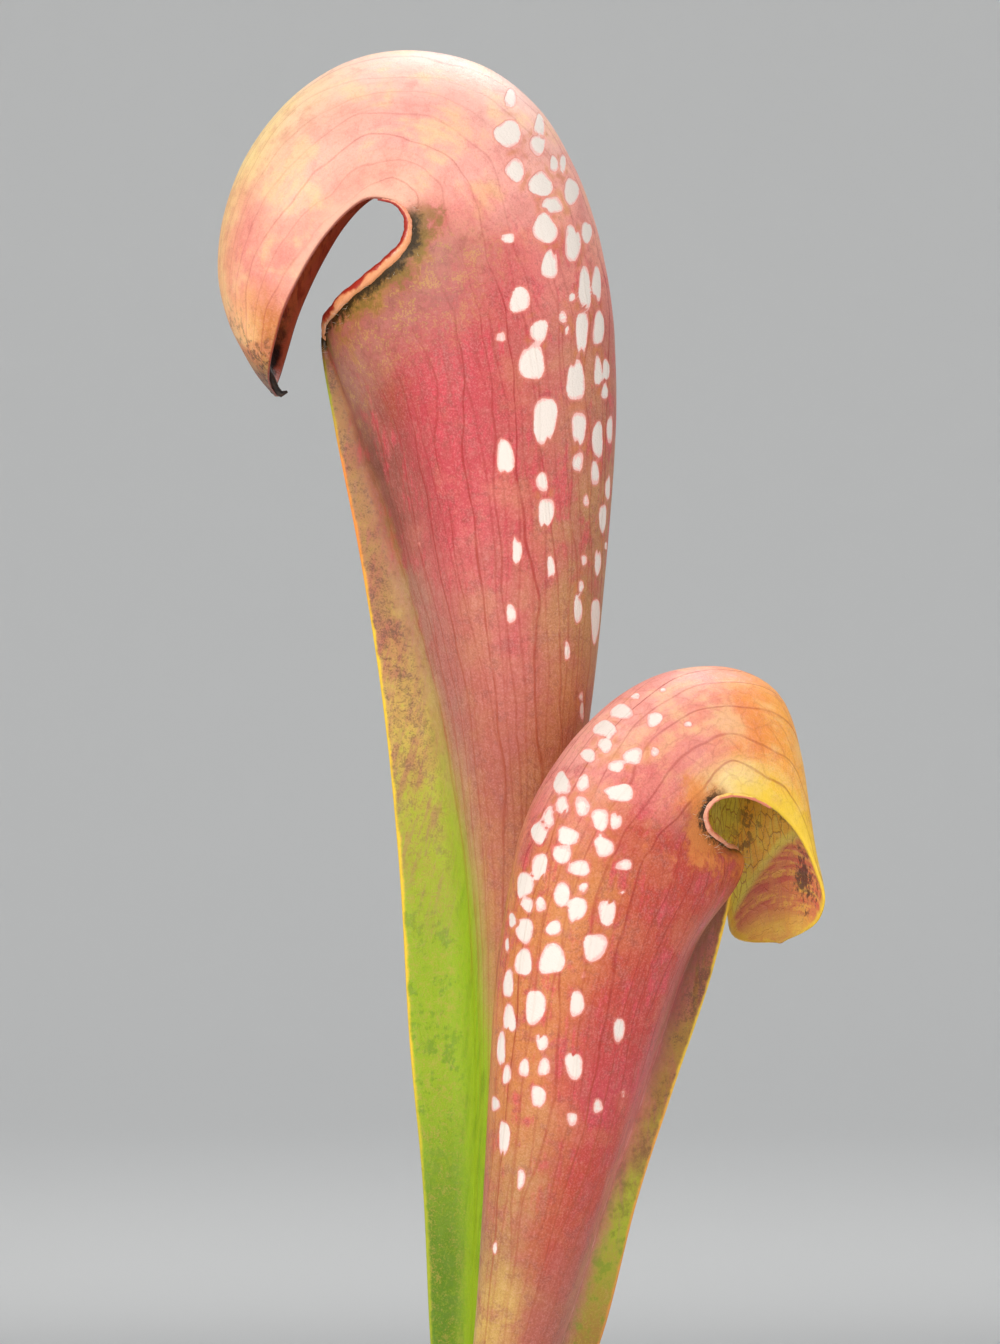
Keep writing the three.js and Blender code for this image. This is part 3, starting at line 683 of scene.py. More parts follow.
def leaf_maps(leaf):
    """The named values of every outer point, in mm or in shares of the leaf."""
    t, lip, last = leaf.rows, leaf.lip, len(leaf.stations) - 1
    grid = leaf.outer
    height = station_at(leaf.stations, t)[:, 1]
    at_lip = station_at(leaf.stations, np.array([float(lip)]))[0, 1]
    climb = np.where(t <= lip, np.maximum(height, 0) / at_lip, 1 + (t - lip) / (last - lip))
    steps = np.linalg.norm(np.diff(grid, axis=1), axis=2)
    girth = np.concatenate([np.zeros((len(grid), 1)), np.cumsum(steps, 1)], 1)
    girth = girth - girth[:, COLUMNS:COLUMNS + 1]
    run = np.concatenate([[0], np.cumsum(np.linalg.norm(np.diff(grid[:, COLUMNS // 2], axis=0), axis=1))])
    mouth = grid[t >= lip][:, [0, -1]].reshape(-1, 3)
    edge = np.full(grid.shape[:2], FAR_FROM_EDGE)
    for point in mouth:
        np.minimum(edge, np.linalg.norm(grid - point, axis=2), out=edge)
    wing = np.maximum(station_at(leaf.stations, t)[:, 6], 0) * (t <= lip)
    no_wing = NO_WING * (1 - smooth(wing, 0.1, 1.2))[:, None]
    crease = np.abs(girth[:, WING_COLUMNS])
    margin = np.abs(girth[:, 0])
    opened = smooth(t, lip - 0.5, lip + 1.5)
    full = np.maximum(crease * (1 - opened) + margin * opened, 0.1)
    past = int(np.argmax(t >= lip + LANES_END))
    lip_crease = crease[int(np.argmax(t >= lip)) - 1]
    reach = np.where(t <= lip, crease, np.where(t <= t[past], lip_crease, margin * lip_crease / margin[past]))
    ones = np.ones_like(girth)
    return {
        "climb": climb[:, None] * ones,
        "turn": np.abs(girth) / full[:, None],
        "lane": girth / np.maximum(reach, 0.1)[:, None],
        "reach": reach[:, None] * ones,
        "girth": girth,
        "run": run[:, None] * ones,
        "edge": edge,
        "wing": np.abs(girth) - crease[:, None] - no_wing,
        "rim": margin[:, None] - np.abs(girth) + no_wing,
        "window": leaf.window,
        "crowd": leaf.crowd,
    }


for leaf in (TALL, SHORT):
    leaf.maps = leaf_maps(leaf)
    print(leaf.name, "maps:", ", ".join(leaf.maps))

# %% [markdown]
# ## The leaf's mesh
# The outer and inner grids become one closed shell. A Solidify modifier could give the thickness,
# but it would carry the hollow out into the wing, so the inner face has a grid of its own. Below
# the lip the first and last columns are the same points, so the tube is closed. Above it a narrow
# strip joins the two faces along the mouth, and a last strip closes the tip. The inner face is
# smoother, so it takes every second row and column, and a face of the strip joins two outer edges
# to one inner edge.

# %% Leaf mesh
def piece(thing, finish=None, replaces=None):
    """Gives a piece its slot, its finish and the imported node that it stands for."""
    if finish:
        thing.data.materials.append(finish)
    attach(thing, "root")
    if replaces:
        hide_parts(replaces)
    return thing


def point_values(thing, values):
    """Stores named values on a piece's points, for its finish to read."""
    for key, value in values.items():
        thing.data.attributes.new(key, "FLOAT", "POINT").data.foreach_set("value", value.astype(np.float32))


def shell(leaf):
    """The points and faces of the shell, and which of its two materials each face has."""
    rows, columns = leaf.outer.shape[:2]
    closed = leaf.rows <= leaf.lip
    outer = np.arange(rows * columns).reshape(rows, columns)
    inner = outer + rows * columns
    outer[closed, -1] = outer[closed, 0]
    inner[closed, -1] = inner[closed, 0]
    floor = int(np.argmax(leaf.rows >= leaf.floor))
    lip = int(np.argmax(leaf.rows >= leaf.lip))
    low = inner[floor::2, ::2]
    mouth, lining = outer[lip:], inner[lip:]

    def stacked(*corners):
        return np.stack(corners, -1).reshape(-1, len(corners))

    def strip(out_edge, in_edge):
        return stacked(out_edge[:-2:2], out_edge[1::2], out_edge[2::2], in_edge[2::2], in_edge[:-2:2])

    groups = [
        stacked(outer[:-1, :-1], outer[:-1, 1:], outer[1:, 1:], outer[1:, :-1]),
        stacked(low[:-1, :-1], low[1:, :-1], low[1:, 1:], low[:-1, 1:]),
        strip(mouth[:, -1], lining[:, -1])[:, ::-1],
        strip(mouth[:, 0], lining[:, 0]),
        strip(outer[-1], inner[-1]),
        outer[0, :-1][None, ::-1],
        low[0, :-1][None],
    ]
    slots = np.concatenate([np.full(len(group), 1 if k in (1, 6) else 0) for k, group in enumerate(groups)])
    faces = [list(dict.fromkeys(face)) for group in groups for face in group.tolist()]
    points = np.concatenate([leaf.outer.reshape(-1, 3), leaf.inner.reshape(-1, 3)])
    return points, faces, slots


def leaf_object(leaf, name):
    """The shell as a piece, without the points and faces that its closed part leaves over."""
    points, faces, slots = shell(leaf)
    kept = [k for k, face in enumerate(faces) if len(face) > 2]
    faces = [faces[k] for k in kept]
    slots = slots[kept]
    used = np.unique(np.concatenate([np.array(face) for face in faces]))
    renumber = np.full(len(points), -1)
    renumber[used] = np.arange(len(used))
    faces = [renumber[face].tolist() for face in faces]
    thing = mesh_object(name, points[used], faces)
    thing.data.polygons.foreach_set("material_index", slots.astype(np.int32))
    point_values(thing, {key: np.tile(values.reshape(-1), 2)[used] for key, values in leaf.maps.items()})
    return piece(thing, replaces=leaf.name)


tall_leaf = leaf_object(TALL, "tall_leaf")
short_leaf = leaf_object(SHORT, "short_leaf")
print("faces:", len(tall_leaf.data.polygons), "tall,", len(short_leaf.data.polygons), "short")

# %% [markdown]
# ## The leaf's colours
# Three lanes run up each leaf: the back, the middle of the side and the front. Each lane is a ramp
# of named colours from foot to tip, and the finish blends across them by how far round a point is.
# Noise bends the borders, so that no lane shows a straight edge.

# %% Colours by name
LIME = rgb(150, 180, 26)
LEAF_GREEN = rgb(98, 136, 16)
YELLOW_GREEN = rgb(170, 178, 44)
OLIVE = rgb(112, 100, 30)
STRAW = rgb(204, 166, 84)
KHAKI = rgb(176, 128, 80)
TAN = rgb(188, 118, 78)
ORANGE_TAN = rgb(204, 124, 66)
RED_TAN = rgb(176, 96, 74)
ROSE_TAN = rgb(194, 106, 94)
MAUVE_TAN = rgb(180, 96, 86)
MAUVE_GREY = rgb(172, 114, 100)
DUSK = rgb(138, 72, 58)
SPECK_AND_SHADE_BROWN = rgb(92, 56, 40)
CREAM = rgb(248, 216, 146)
RUSSET = rgb(160, 70, 40)
BRICK = rgb(186, 64, 48)
CRIMSON = rgb(194, 64, 74)
FRESH_RED = rgb(216, 64, 82)
DEEP_ROSE = rgb(204, 86, 90)
ROSE = rgb(216, 112, 104)
SALMON = rgb(230, 142, 126)
PALE_SALMON = rgb(240, 168, 154)
PEACH = rgb(242, 182, 156)
APRICOT = rgb(240, 176, 118)
ORANGE = rgb(240, 146, 68)
AMBER = rgb(250, 174, 70)
GOLD = rgb(242, 200, 60)
OCHRE = rgb(166, 120, 54)
BARK_BROWN = rgb(84, 54, 28)
UMBER = rgb(36, 26, 6)
WARM_BROWN = rgb(128, 70, 34)
IVORY = rgb(232, 220, 210)
BLUSH = rgb(240, 184, 176)
PALE_PINK = rgb(248, 204, 186)

# A ramp has places and colours. Place 0 is the foot, 1 the lip and 2 the tip of the hood.
# green is where the green ends at the front, how fast it sinks towards the back, and how far.
# crease is painted shade by the crease: where it starts and is full, and its middle in mm on the wing.
# fold is a painted highlight line along the wing's root: its colour, its width in mm and its strength.
# band is where the mouth's band fades out on the hood, dark the dark line in mm from the edge, and
# ring how far the scruffy skin reaches in mm, and its two colours. dusky is the skin below it: how
# far it reaches in mm, and its strength. margin is the hood's margin, and the line at its edge.
TALL_LOOK = SimpleNamespace(
    back=[(0.0, OLIVE), (0.5, TAN), (0.7, TAN), (0.82, KHAKI), (1.0, ROSE_TAN), (1.12, SALMON),
          (1.24, PALE_SALMON), (1.36, PALE_PINK), (1.48, PALE_PINK), (1.62, CREAM), (1.76, APRICOT),
          (1.85, ORANGE_TAN), (1.91, OCHRE), (1.95, BARK_BROWN)],
    side=[(0.0, RED_TAN), (0.62, TAN), (0.72, RED_TAN), (0.81, ROSE_TAN), (0.86, DEEP_ROSE),
          (0.91, CRIMSON), (1.02, CRIMSON), (1.12, DEEP_ROSE), (1.2, ROSE), (1.28, PALE_SALMON),
          (1.42, PALE_SALMON), (1.6, PEACH), (1.72, SALMON), (1.8, APRICOT), (1.86, ORANGE_TAN),
          (1.91, OCHRE), (1.94, BARK_BROWN), (1.97, UMBER)],
    front=[(0.0, KHAKI), (0.6, MAUVE_GREY), (0.8, MAUVE_GREY), (0.87, MAUVE_TAN), (0.94, DUSK),
           (1.0, RUSSET), (1.1, RED_TAN), (1.24, SALMON), (1.36, PEACH), (1.7, SALMON), (1.79, ORANGE_TAN),
           (1.86, OCHRE), (1.92, BARK_BROWN), (1.96, UMBER)],
    wing=[(0.0, LEAF_GREEN), (0.38, LEAF_GREEN), (0.48, LIME), (0.58, LIME), (0.66, YELLOW_GREEN),
          (0.74, STRAW), (0.82, KHAKI), (1.0, KHAKI)],
    rim=[(0.0, YELLOW_GREEN), (0.4, YELLOW_GREEN), (0.52, GOLD), (0.8, GOLD), (0.86, ORANGE),
         (0.92, ORANGE), (0.96, YELLOW_GREEN), (1.0, YELLOW_GREEN)],
    rim_width=0.75,
    back_lane=(0.2, 0.56),
    fresh_from=(0.78, 0.9),
    net=0.1,
    green=(0.79, 0.62, 0.42),
    crease=(0.78, 0.92, -1.3),
    fold=(YELLOW_GREEN, 1.2, 0.16),
    band=(1.24, 1.31),
    dark=(1.2, 1.9),
    ring=(5.5, OCHRE, OLIVE),
    dusky=(13.0, 0.75),
    margin=(PEACH, rgb(140, 46, 34)),
    vein=rgb(152, 30, 24),
    hood_veins=0.45,
    stained_from=(1.74, 1.9),
)
SHORT_LOOK = SimpleNamespace(
    back=[(0.0, OLIVE), (0.35, YELLOW_GREEN), (0.48, STRAW), (0.62, KHAKI), (0.78, ORANGE_TAN),
          (0.95, ORANGE_TAN), (1.12, ROSE), (1.26, PALE_SALMON), (1.4, SALMON), (1.5, ORANGE),
          (1.62, AMBER), (1.8, GOLD), (2.0, AMBER)],
    side=[(0.0, OLIVE), (0.35, RED_TAN), (0.55, RED_TAN), (0.66, BRICK), (0.78, CRIMSON), (0.9, BRICK),
          (0.98, BRICK), (1.08, BRICK), (1.18, ROSE), (1.32, SALMON), (1.44, ORANGE), (1.54, AMBER),
          (1.8, GOLD), (2.0, AMBER)],
    front=[(0.0, OLIVE), (0.4, MAUVE_GREY), (0.7, ROSE), (0.82, MAUVE_TAN), (0.9, RUSSET), (1.0, RUSSET),
           (1.1, ORANGE_TAN), (1.24, ORANGE), (1.38, CREAM), (1.48, GOLD), (1.9, GOLD), (2.0, AMBER)],
    wing=[(0.0, LEAF_GREEN), (0.3, YELLOW_GREEN), (0.5, OCHRE), (0.62, YELLOW_GREEN), (0.74, OCHRE),
          (0.84, OCHRE), (0.92, WARM_BROWN), (1.0, WARM_BROWN)],
    rim=[(0.0, YELLOW_GREEN), (0.4, ORANGE_TAN), (0.72, AMBER), (0.8, GOLD), (1.0, GOLD)],
    rim_width=0.9,
    back_lane=(0.14, 0.48),
    fresh_from=(0.6, 0.76),
    net=0.24,
    green=(0.42, 0.3, 0.3),
    crease=(0.74, 0.94, 0.8),
    fold=(BLUSH, 0.4, 0.5),
    band=(1.26, 1.36),
    dark=(0.65, 1.1),
    ring=(6.0, ORANGE, ORANGE_TAN),
    dusky=(6.0, 0.0),
    margin=(GOLD, GOLD),
    vein=rgb(150, 36, 22),
    hood_veins=0.85,
    stained_from=(1.5, 3.0),
)
print("lanes per leaf: back, side, front and wing")

# %% [markdown]
# ## Veins
# The veins of such a leaf rise from the foot, and fork as the tube gets wider. Each could be a
# curve laid on the leaf, but hundreds of curves are slow to place and to render. A formula for the
# distance to the nearest vein draws them all. Main veins lie at equal steps round the leaf, bent by
# slow noise. In each gap between two of them a side vein leaves one at a height drawn for that gap,
# and swings to the middle of the gap. A fine net of cells joins them near the top.

# %% Vein helpers
MAIN_VEINS = 6
VEIN_HALF_WIDTH = 0.22
FORK_LENGTH = 22.0


def drawn(paint, cell, seed):
    """A random value from 0 to 1 for each whole number."""
    sockets = {"Vector": paint.vector(cell, seed, 0.5)}
    return paint.node("ShaderNodeTexWhiteNoise", {"noise_dimensions": "3D"}, sockets)


def vein_line(paint, distance, strength):
    """A soft line about a distance of 0 mm."""
    return paint.fade(distance, 0.03, VEIN_HALF_WIDTH) * strength


def strands(paint, lane, run, reach, count, seed, first_fork, last_fork):
    """Main veins at equal steps of the lane, and in each gap a side vein that forks off one of them."""
    wander = paint.noise(paint.vector(lane * 2.4 + seed, run * 0.028, 0.0), 1.0, 2.0)
    wave = paint.noise(paint.vector(lane * 8 + seed, run * 0.16, 0.0), 1.0, 1.0)
    cell = lane * count + wander * 1.6 + wave * 0.16 + 40.5
    part = cell.maths("FRACT", cell)
    gap = cell - part
    spacing = reach / count
    nearest = cell.maths("ROUND", cell)
    main = vein_line(paint, least(part, 1 - part) * spacing, drawn(paint, nearest, seed) * 0.6 + 0.4)
    leave = drawn(paint, gap, seed + 3) * (last_fork - first_fork) + first_fork
    shift = paint.step(run, leave, leave + FORK_LENGTH) * 0.5
    swap = paint.step(drawn(paint, gap, seed + 5), 0.49, 0.51)
    target = shift + swap * (1 - shift * 2)
    side = vein_line(paint, abs(part - target) * spacing, paint.step(run, leave, leave + 6) * 0.6)
    return most(main, side)


def net(paint, girth, run, bend):
    """The borders of small cells, a little longer up the leaf than round it."""
    at = paint.vector(girth * 0.34 + bend, run * 0.2 + bend, 0.0)
    settings = {"feature": "DISTANCE_TO_EDGE", "voronoi_dimensions": "2D"}
    return paint.fade(paint.node("ShaderNodeTexVoronoi", settings, {"Vector": at, "Scale": 1.0}), 0.0, 0.07)


print("veins round each half leaf:", MAIN_VEINS, "main, up to", MAIN_VEINS * 4, "in all")

# %% [markdown]
# ## What a finish reads on the leaf
# The maps come in as attributes, and the noises have the sizes of the marks that they make: broad
# patches of 10 mm, blotches of 5, patches of 2, specks under 1 and the grain of the cells. Streaks
# and flecks follow the leaf's length.

# %% Readings on the leaf
LEAF_MAPS = ("climb", "turn", "lane", "reach", "girth", "run", "edge", "wing", "rim", "window", "crowd")
LEAF_NOISES = {
    "broad": (90, 3, 0.55), "blotch": (190, 4, 0.62), "patchy": (420, 4, 0.66),
    "fine": (1300, 3, 0.65), "grain": (4600, 2, 0.7),
}


def readings(paint):
    """All that a leaf's finish reads at a point, by name."""
    on = SimpleNamespace(**{name: paint.attribute(name) for name in LEAF_MAPS})
    at = paint.place()
    for name, settings in LEAF_NOISES.items():
        setattr(on, name, paint.noise(at, *settings))
    on.streak = paint.noise(paint.vector(on.girth * 1.1, on.run * 0.12, 0.0), 1.0, 3, 0.6)
    on.fleck = paint.noise(paint.vector(on.girth * 1.7, on.run * 0.8, 7.0), 1.0, 3, 0.7)
    return on


print("readings:", len(LEAF_MAPS), "maps and", len(LEAF_NOISES) + 2, "noises")

# %% [markdown]
# ## Lanes and mottling
# The skin of a living leaf is never one even colour. Three lanes give the broad colours. Over them
# lie soft blotches, fresh red high on the tube, cream and pink on the hood, and specks as small as
# the cells. A painted picture would need a flat map of the leaf. Colours laid on through masks of
# noise need none, and stay sharp close up.

# %% Lanes and mottling
FRONT_LANE = (0.66, 0.92)


def lane_colour(paint, on, look):
    """Blends the back, side and front ramps. The ramps run over the whole leaf."""
    climb = on.climb + on.broad * 0.24 + on.blotch * 0.12 + on.streak * 0.06
    turn = on.turn + on.broad * 0.24 + on.streak * 0.14
    back, side, front = [
        paint.ramp(climb * 0.5, [(place / 2, colour) for place, colour in stops])
        for stops in (look.back, look.side, look.front)]
    at_side = paint.step(turn, *look.back_lane)
    at_front = paint.step(turn, *FRONT_LANE)
    return paint.layers(back, (at_side, side), (at_front, front))


def mottled(paint, body, on, look):
    """Soft blotches and fine specks: mauve and fresh red on the tube, cream and pink on the hood."""
    step = paint.step
    on_hood = step(on.climb, 1.05, 1.35)
    upper = step(on.climb, *look.fresh_from)
    fresh = step(on.blotch * 0.5 + on.patchy * 0.5 + on.streak * 0.5, 0.0, 0.14) * upper * (1 - on_hood)
    cream = step(0 - on.blotch - on.broad * 0.5 + on.streak * 0.3, -0.04, 0.22)
    return paint.layers(
        body,
        (step(on.blotch + on.broad * 0.3, -0.02, 0.14) * (0.5 - on_hood * 0.42), MAUVE_TAN),
        (cream * (on_hood * 0.36 + 0.08), CREAM),
        (step(on.patchy + on.blotch, 0.0, 0.3) * on_hood * 0.26, ROSE),
        (fresh * 0.6, FRESH_RED),
        (step(on.fine * 0.7 + on.patchy, 0.02, 0.16) * (0.32 - on_hood * 0.27), DUSK),
        (step(0 - on.fine - on.patchy * 0.6, 0.05, 0.2) * 0.08, BLUSH),
        (step(on.grain + on.patchy * 0.3, -0.03, 0.18) * 0.15, BLUSH),
        (step(0 - on.grain + on.fine * 0.3, -0.02, 0.18) * (0.24 - on_hood * 0.12), DUSK),
    )


print("the front lane starts", FRONT_LANE, "of the way round")

# %% [markdown]
# ## The green foot and the wing
# The foot of a leaf stays green. The green climbs highest along the wing, and yellows where it
# ends. The wing is thin and catches more light, so its colours are painted brighter, partly as
# painted light. It has a pale rim, painted shade beside its crease and a painted highlight line
# along its root. The wing could be a piece with its own material, but then a hard line would part
# them. Masks that read the maps let the colours run into each other.

# %% Green and wing
def greened(paint, body, on, look):
    """The green that climbs from the foot, highest along the wing, and yellows where it ends."""
    level, slope, most_rise = look.green
    rise = least((1 - on.turn) * slope, most_rise)
    rising = on.climb + rise + on.streak * 0.1 + on.broad * 0.08 + on.fleck * 0.05
    faded = paint.step(rising - on.streak * 0.1, level - 0.22, level + 0.02)
    lime = paint.step(on.streak + on.patchy * 0.5, -0.4, 0.1) * 0.8
    green = paint.layers(LEAF_GREEN, (lime, LIME), (faded * 0.6, STRAW))
    return paint.mix(paint.fade(rising, level - 0.17, level + 0.06) * (1 - faded * 0.35), body, green)


def wing_colour(paint, body, on, look):
    """The wing's colours, specks and rim, painted shade by the crease and a painted highlight at the root."""
    step, fade = paint.step, paint.fade
    high = step(on.climb, 0.55, 0.8)
    dusky = step(on.blotch * 0.4 + on.patchy * 0.5 + on.fine * 0.8 + on.grain, -0.1, 0.26)
    keel = paint.layers(
        paint.ramp(on.climb + on.patchy * 0.2 + on.fleck * 0.1, look.wing),
        (step(on.patchy + on.fleck * 0.4, 0.0, 0.12) * (1 - high) * 0.5, LEAF_GREEN),
        (step(on.streak, 0.02, 0.12) * step(on.climb, 0.56, 0.66) * 0.35, MAUVE_GREY),
        (step(0 - on.fleck + on.grain, 0.0, 0.16) * (0.3 - high * 0.16), YELLOW_GREEN),
        (step(0 - on.patchy + on.fine * 0.8 + on.grain, -0.02, 0.3) * 0.4, STRAW),
        (step(on.blotch + on.streak * 0.6, -0.1, 0.16) * high * 0.6, MAUVE_TAN),
        (dusky * (high * 0.68 + 0.06), SPECK_AND_SHADE_BROWN),
    )
    tube = fade(on.climb, 0.99, 1.03)
    # crease: painted shade beside the wing's crease.
    start, end, middle = look.crease
    crease = fade(abs(on.wing - middle) + on.patchy * 5 + on.fine * 3, 0.3, 3.0) * step(on.climb, start, end)
    # fold: a painted highlight line along the wing's root.
    colour, width, strength = look.fold
    fold = fade(abs(on.wing + 0.1) + on.patchy * 3 * width, 0.1 * width, width)
    rim = fade(on.rim + on.patchy * 0.8, 0.4 * look.rim_width, look.rim_width)
    return paint.layers(
        body,
        (step(on.wing + on.patchy * 2.4 + on.fine, -0.4, 3.4) * tube, keel),
        (crease * tube * 0.62, SPECK_AND_SHADE_BROWN),
        (fold * fade(on.climb, 0.84, 0.95) * strength, colour),
        (rim * tube, paint.ramp(on.climb, look.rim)),
    )


print("green ends at", TALL_LOOK.green[0], "and", SHORT_LOOK.green[0], "of the tubes' height")

# %% [markdown]
# ## Round the mouth
# A dark downy line runs close outside the lip, scruffy olive skin lies round it, and the hood's
# margin has a thin line of its own. All of them follow the mouth, so their masks read the distance
# to its edge. Noise added to that distance frays them, as down and dirt do on the real leaf.

# %% Mouth band
def mouth_band(paint, body, on, look):
    """The dark downy line outside the lip, the scruffy olive skin round it, and the hood's margin."""
    step, fade = paint.step, paint.fade
    near = step(on.climb, 0.95, 1.0) * fade(on.climb, *look.band)
    far, outer, inner = look.ring
    ragged = on.edge + on.broad * 10 + on.patchy * 9 + on.fine * 5
    reach, strength = look.dusky
    below = fade(ragged, 0.3 * reach, 1.25 * reach) * step(on.climb, 0.86, 0.96) * fade(on.climb, 1.16, 1.26)
    below = below * fade(on.wing, -0.4, 0.6) * strength
    dark = on.edge + on.patchy * 2.4 + on.fine * 2.4 + on.grain
    start, end = look.dark
    stains = step(on.fine + on.patchy * 0.8, 0.02, 0.14) * step(on.climb, *look.stained_from)
    hood_from = look.band[1]
    hood = step(on.climb, hood_from - 0.04, hood_from + 0.08)
    light, line = look.margin
    return paint.layers(
        body,
        (below, MAUVE_GREY),
        (below * step(on.patchy + on.fine + on.grain * 0.6, -0.04, 0.2) * 0.7, DUSK),
        (below * step(0 - on.patchy + on.fine + on.grain, 0.02, 0.2) * 0.6, STRAW),
        (fade(ragged, 0.3 * far, far) * near * 0.5, RUSSET),
        (fade(ragged + on.blotch * 14, 0.2 * far, 0.9 * far) * near * 0.6, outer),
        (fade(ragged, 0.3 * far, 0.65 * far) * near * 0.6, inner),
        (fade(dark, start, end + 0.5) * near * 0.7, BARK_BROWN),
        (fade(dark, 0.8 * start, end) * near * 0.85, UMBER),
        (stains * 0.7, UMBER),
        (fade(on.edge + on.patchy * 3, 0.3, 2.6) * hood * fade(on.climb, 1.62, 1.78) * 0.7, light),
        (fade(on.edge, 0.1, 0.35) * hood * 0.8, line),
    )


print("the dark line ends", TALL_LOOK.dark[1], "and", SHORT_LOOK.dark[1], "mm from the edge")

# %% [markdown]
# ## Veins and windows on the skin
# The veins are fainter on the foot, on the wing and on the tall hood, and break where the skin is
# blotched. A window is pale tissue with a blush edge, and thin veins cross it. Both are drawn in
# the colour and lightly in the relief, because on the leaf they hardly stand out from the skin.

# %% Veins and windows
def skin_veins(paint, on, leaf, look):
    """How strongly a vein shows: main and fine strands on the tube, and a faint net on the hood."""
    step = paint.step
    lips = float(leaf.maps["run"][np.argmax(leaf.rows >= leaf.lip), 0])
    lines = strands(paint, on.lane, on.run, on.reach, MAIN_VEINS, 3.0, lips * 0.35, lips * 0.75)
    fine = strands(paint, on.lane, on.run, on.reach, MAIN_VEINS * 2, 11.0, lips * 0.5, lips)
    on_tube = paint.fade(on.climb, 1.0, 1.25)
    cells = net(paint, on.girth, on.run, on.patchy * 0.7 + on.broad) * step(on.climb, 0.8, 1.05)
    strength = on_tube * (1 - look.hood_veins) + look.hood_veins
    lines = most(lines * strength, most(fine * (on_tube * 0.4 + 0.1), cells * look.net))
    broken = step(on.blotch + on.streak * 0.5, -0.3, 0.08) * 0.6 + 0.4
    on_wing = step(on.wing, -0.3, 0.5)
    return lines * broken * (1 - on_wing * 0.75) * (step(on.climb, 0.4, 0.75) * 0.7 + 0.3)


def windowed(paint, body, on, lines):
    """The pale windows with their blush edges, and the tan tissue between crowded ones."""
    step = paint.step
    inside = on.window + on.patchy * 0.35 + on.fine * 0.2
    outside = 0 - inside
    middle = inside - abs(on.blotch) * 1.2 + on.patchy * 0.8 + on.grain * 0.6
    pale = paint.layers(BLUSH, (step(middle, -0.05, 0.3), IVORY), (lines * 0.16, KHAKI))
    crowded = step(on.crowd + on.patchy, -1.3, -0.5) * step(outside, 0.1, 0.35)
    shown = step(inside, -0.02, 0.09)
    halo = paint.fade(outside, 0.02, 0.2)
    return shown, paint.layers(body, (crowded * 0.5, ORANGE_TAN), (halo * 0.5, SALMON), (shown, pale))


print("veins on the hoods show at", TALL_LOOK.hood_veins, "and", SHORT_LOOK.hood_veins, "of their strength")

# %% [markdown]
# ## The leaf's outer face
# The skin is satin: rough enough to spread the light, with a thin waxy coat. The layers are laid
# on as they cover each other: the lanes, the mottling, the green, the veins, the wing, the mouth's
# band and last the windows. One finish for the whole leaf keeps the marks running through.

# %% Leaf skin
def leaf_skin(name, leaf, look):
    paint = Finish(name)
    on = readings(paint)
    lines = skin_veins(paint, on, leaf, look)
    vein = paint.mix(paint.step(on.climb + on.broad * 0.3, 0.74, 0.9), RUSSET, look.vein)
    body = greened(paint, mottled(paint, lane_colour(paint, on, look), on, look), on, look)
    body = wing_colour(paint, paint.mix(lines * 0.75, body, vein), on, look)
    shown, body = windowed(paint, mouth_band(paint, body, on, look), on, lines)
    relief = lines * 0.3 + on.grain * 0.5 + on.patchy * 0.5 + on.blotch * 0.6 + on.fine * 0.3 - shown * 0.4
    paint.set(
        Base_Color=body,
        Roughness=0.42 + on.grain * 0.2 + on.patchy * 0.3,
        Normal=paint.bump(relief, 0.00025, 0.6),
        Coat_Weight=paint.step(on.patchy + on.fine, -0.05, 0.2) * 0.16 + 0.04,
        Coat_Roughness=0.25,
        Specular_IOR_Level=0.22,
    )
    return paint.material


tall_leaf.data.materials.append(leaf_skin("tall leaf skin", TALL, TALL_LOOK))
short_leaf.data.materials.append(leaf_skin("short leaf skin", SHORT, SHORT_LOOK))
print("leaf skins on", tall_leaf.name, "and", short_leaf.name)

# %% [markdown]
# ## Inside the hood
# The inner face is waxy. In the tall leaf it is orange red with paler streaks and dark specks, and
# nearly black at the tip. In the short leaf it is yellow, amber with brown specks to one side, and
# past a pale fold the brim turns tan orange, with a dark stain. None of its marks run on from the
# outer face, so it has a finish of its own. Its colours are set brighter than the leaf's own, as
# painted light, because the hood shades them.

# %% Inner finish
# Names that end in from are where a colour starts and where it is full. shade_from is in mm round
# the leaf, and the others, like fold_at, are places up the leaf. stain is its place in mm round
# the leaf and up it. ribs is how close the ribs lie across and along the leaf.
# Painted light: all these colours are set brighter than the leaf's own, because the hood shades the inside.
TALL_INSIDE = SimpleNamespace(
    deep=rgb(250, 104, 66), shade=rgb(255, 160, 100), shade_from=(12.0, 17.0), speck=rgb(170, 62, 38),
    fold_at=1.66, fold=rgb(250, 150, 84), brim=rgb(252, 146, 88), brim_streak=rgb(196, 74, 42),
    brim_low=rgb(214, 120, 54), low_from=(1.95, 2.0), stain=(12.0, 1.93), stain_colour=rgb(60, 28, 16),
    margin=rgb(250, 130, 92), tip=rgb(44, 20, 10), tip_from=(1.74, 1.84), vein=rgb(180, 66, 42),
    ribs=(1.0, 0.12),
)
SHORT_INSIDE = SimpleNamespace(
    deep=rgb(244, 236, 76), shade=rgb(250, 190, 50), shade_from=(-10.0, -5.0), speck=rgb(120, 76, 22),
    fold_at=1.765, fold=rgb(240, 232, 96), brim=rgb(228, 136, 78), brim_streak=rgb(214, 84, 72),
    brim_low=rgb(252, 208, 78), low_from=(1.86, 1.93), stain=(6.0, 1.84), stain_colour=rgb(44, 26, 12),
    margin=rgb(250, 214, 60), tip=rgb(240, 170, 70), tip_from=(1.88, 1.98), vein=rgb(176, 84, 30),
    ribs=(0.12, 1.1),
)


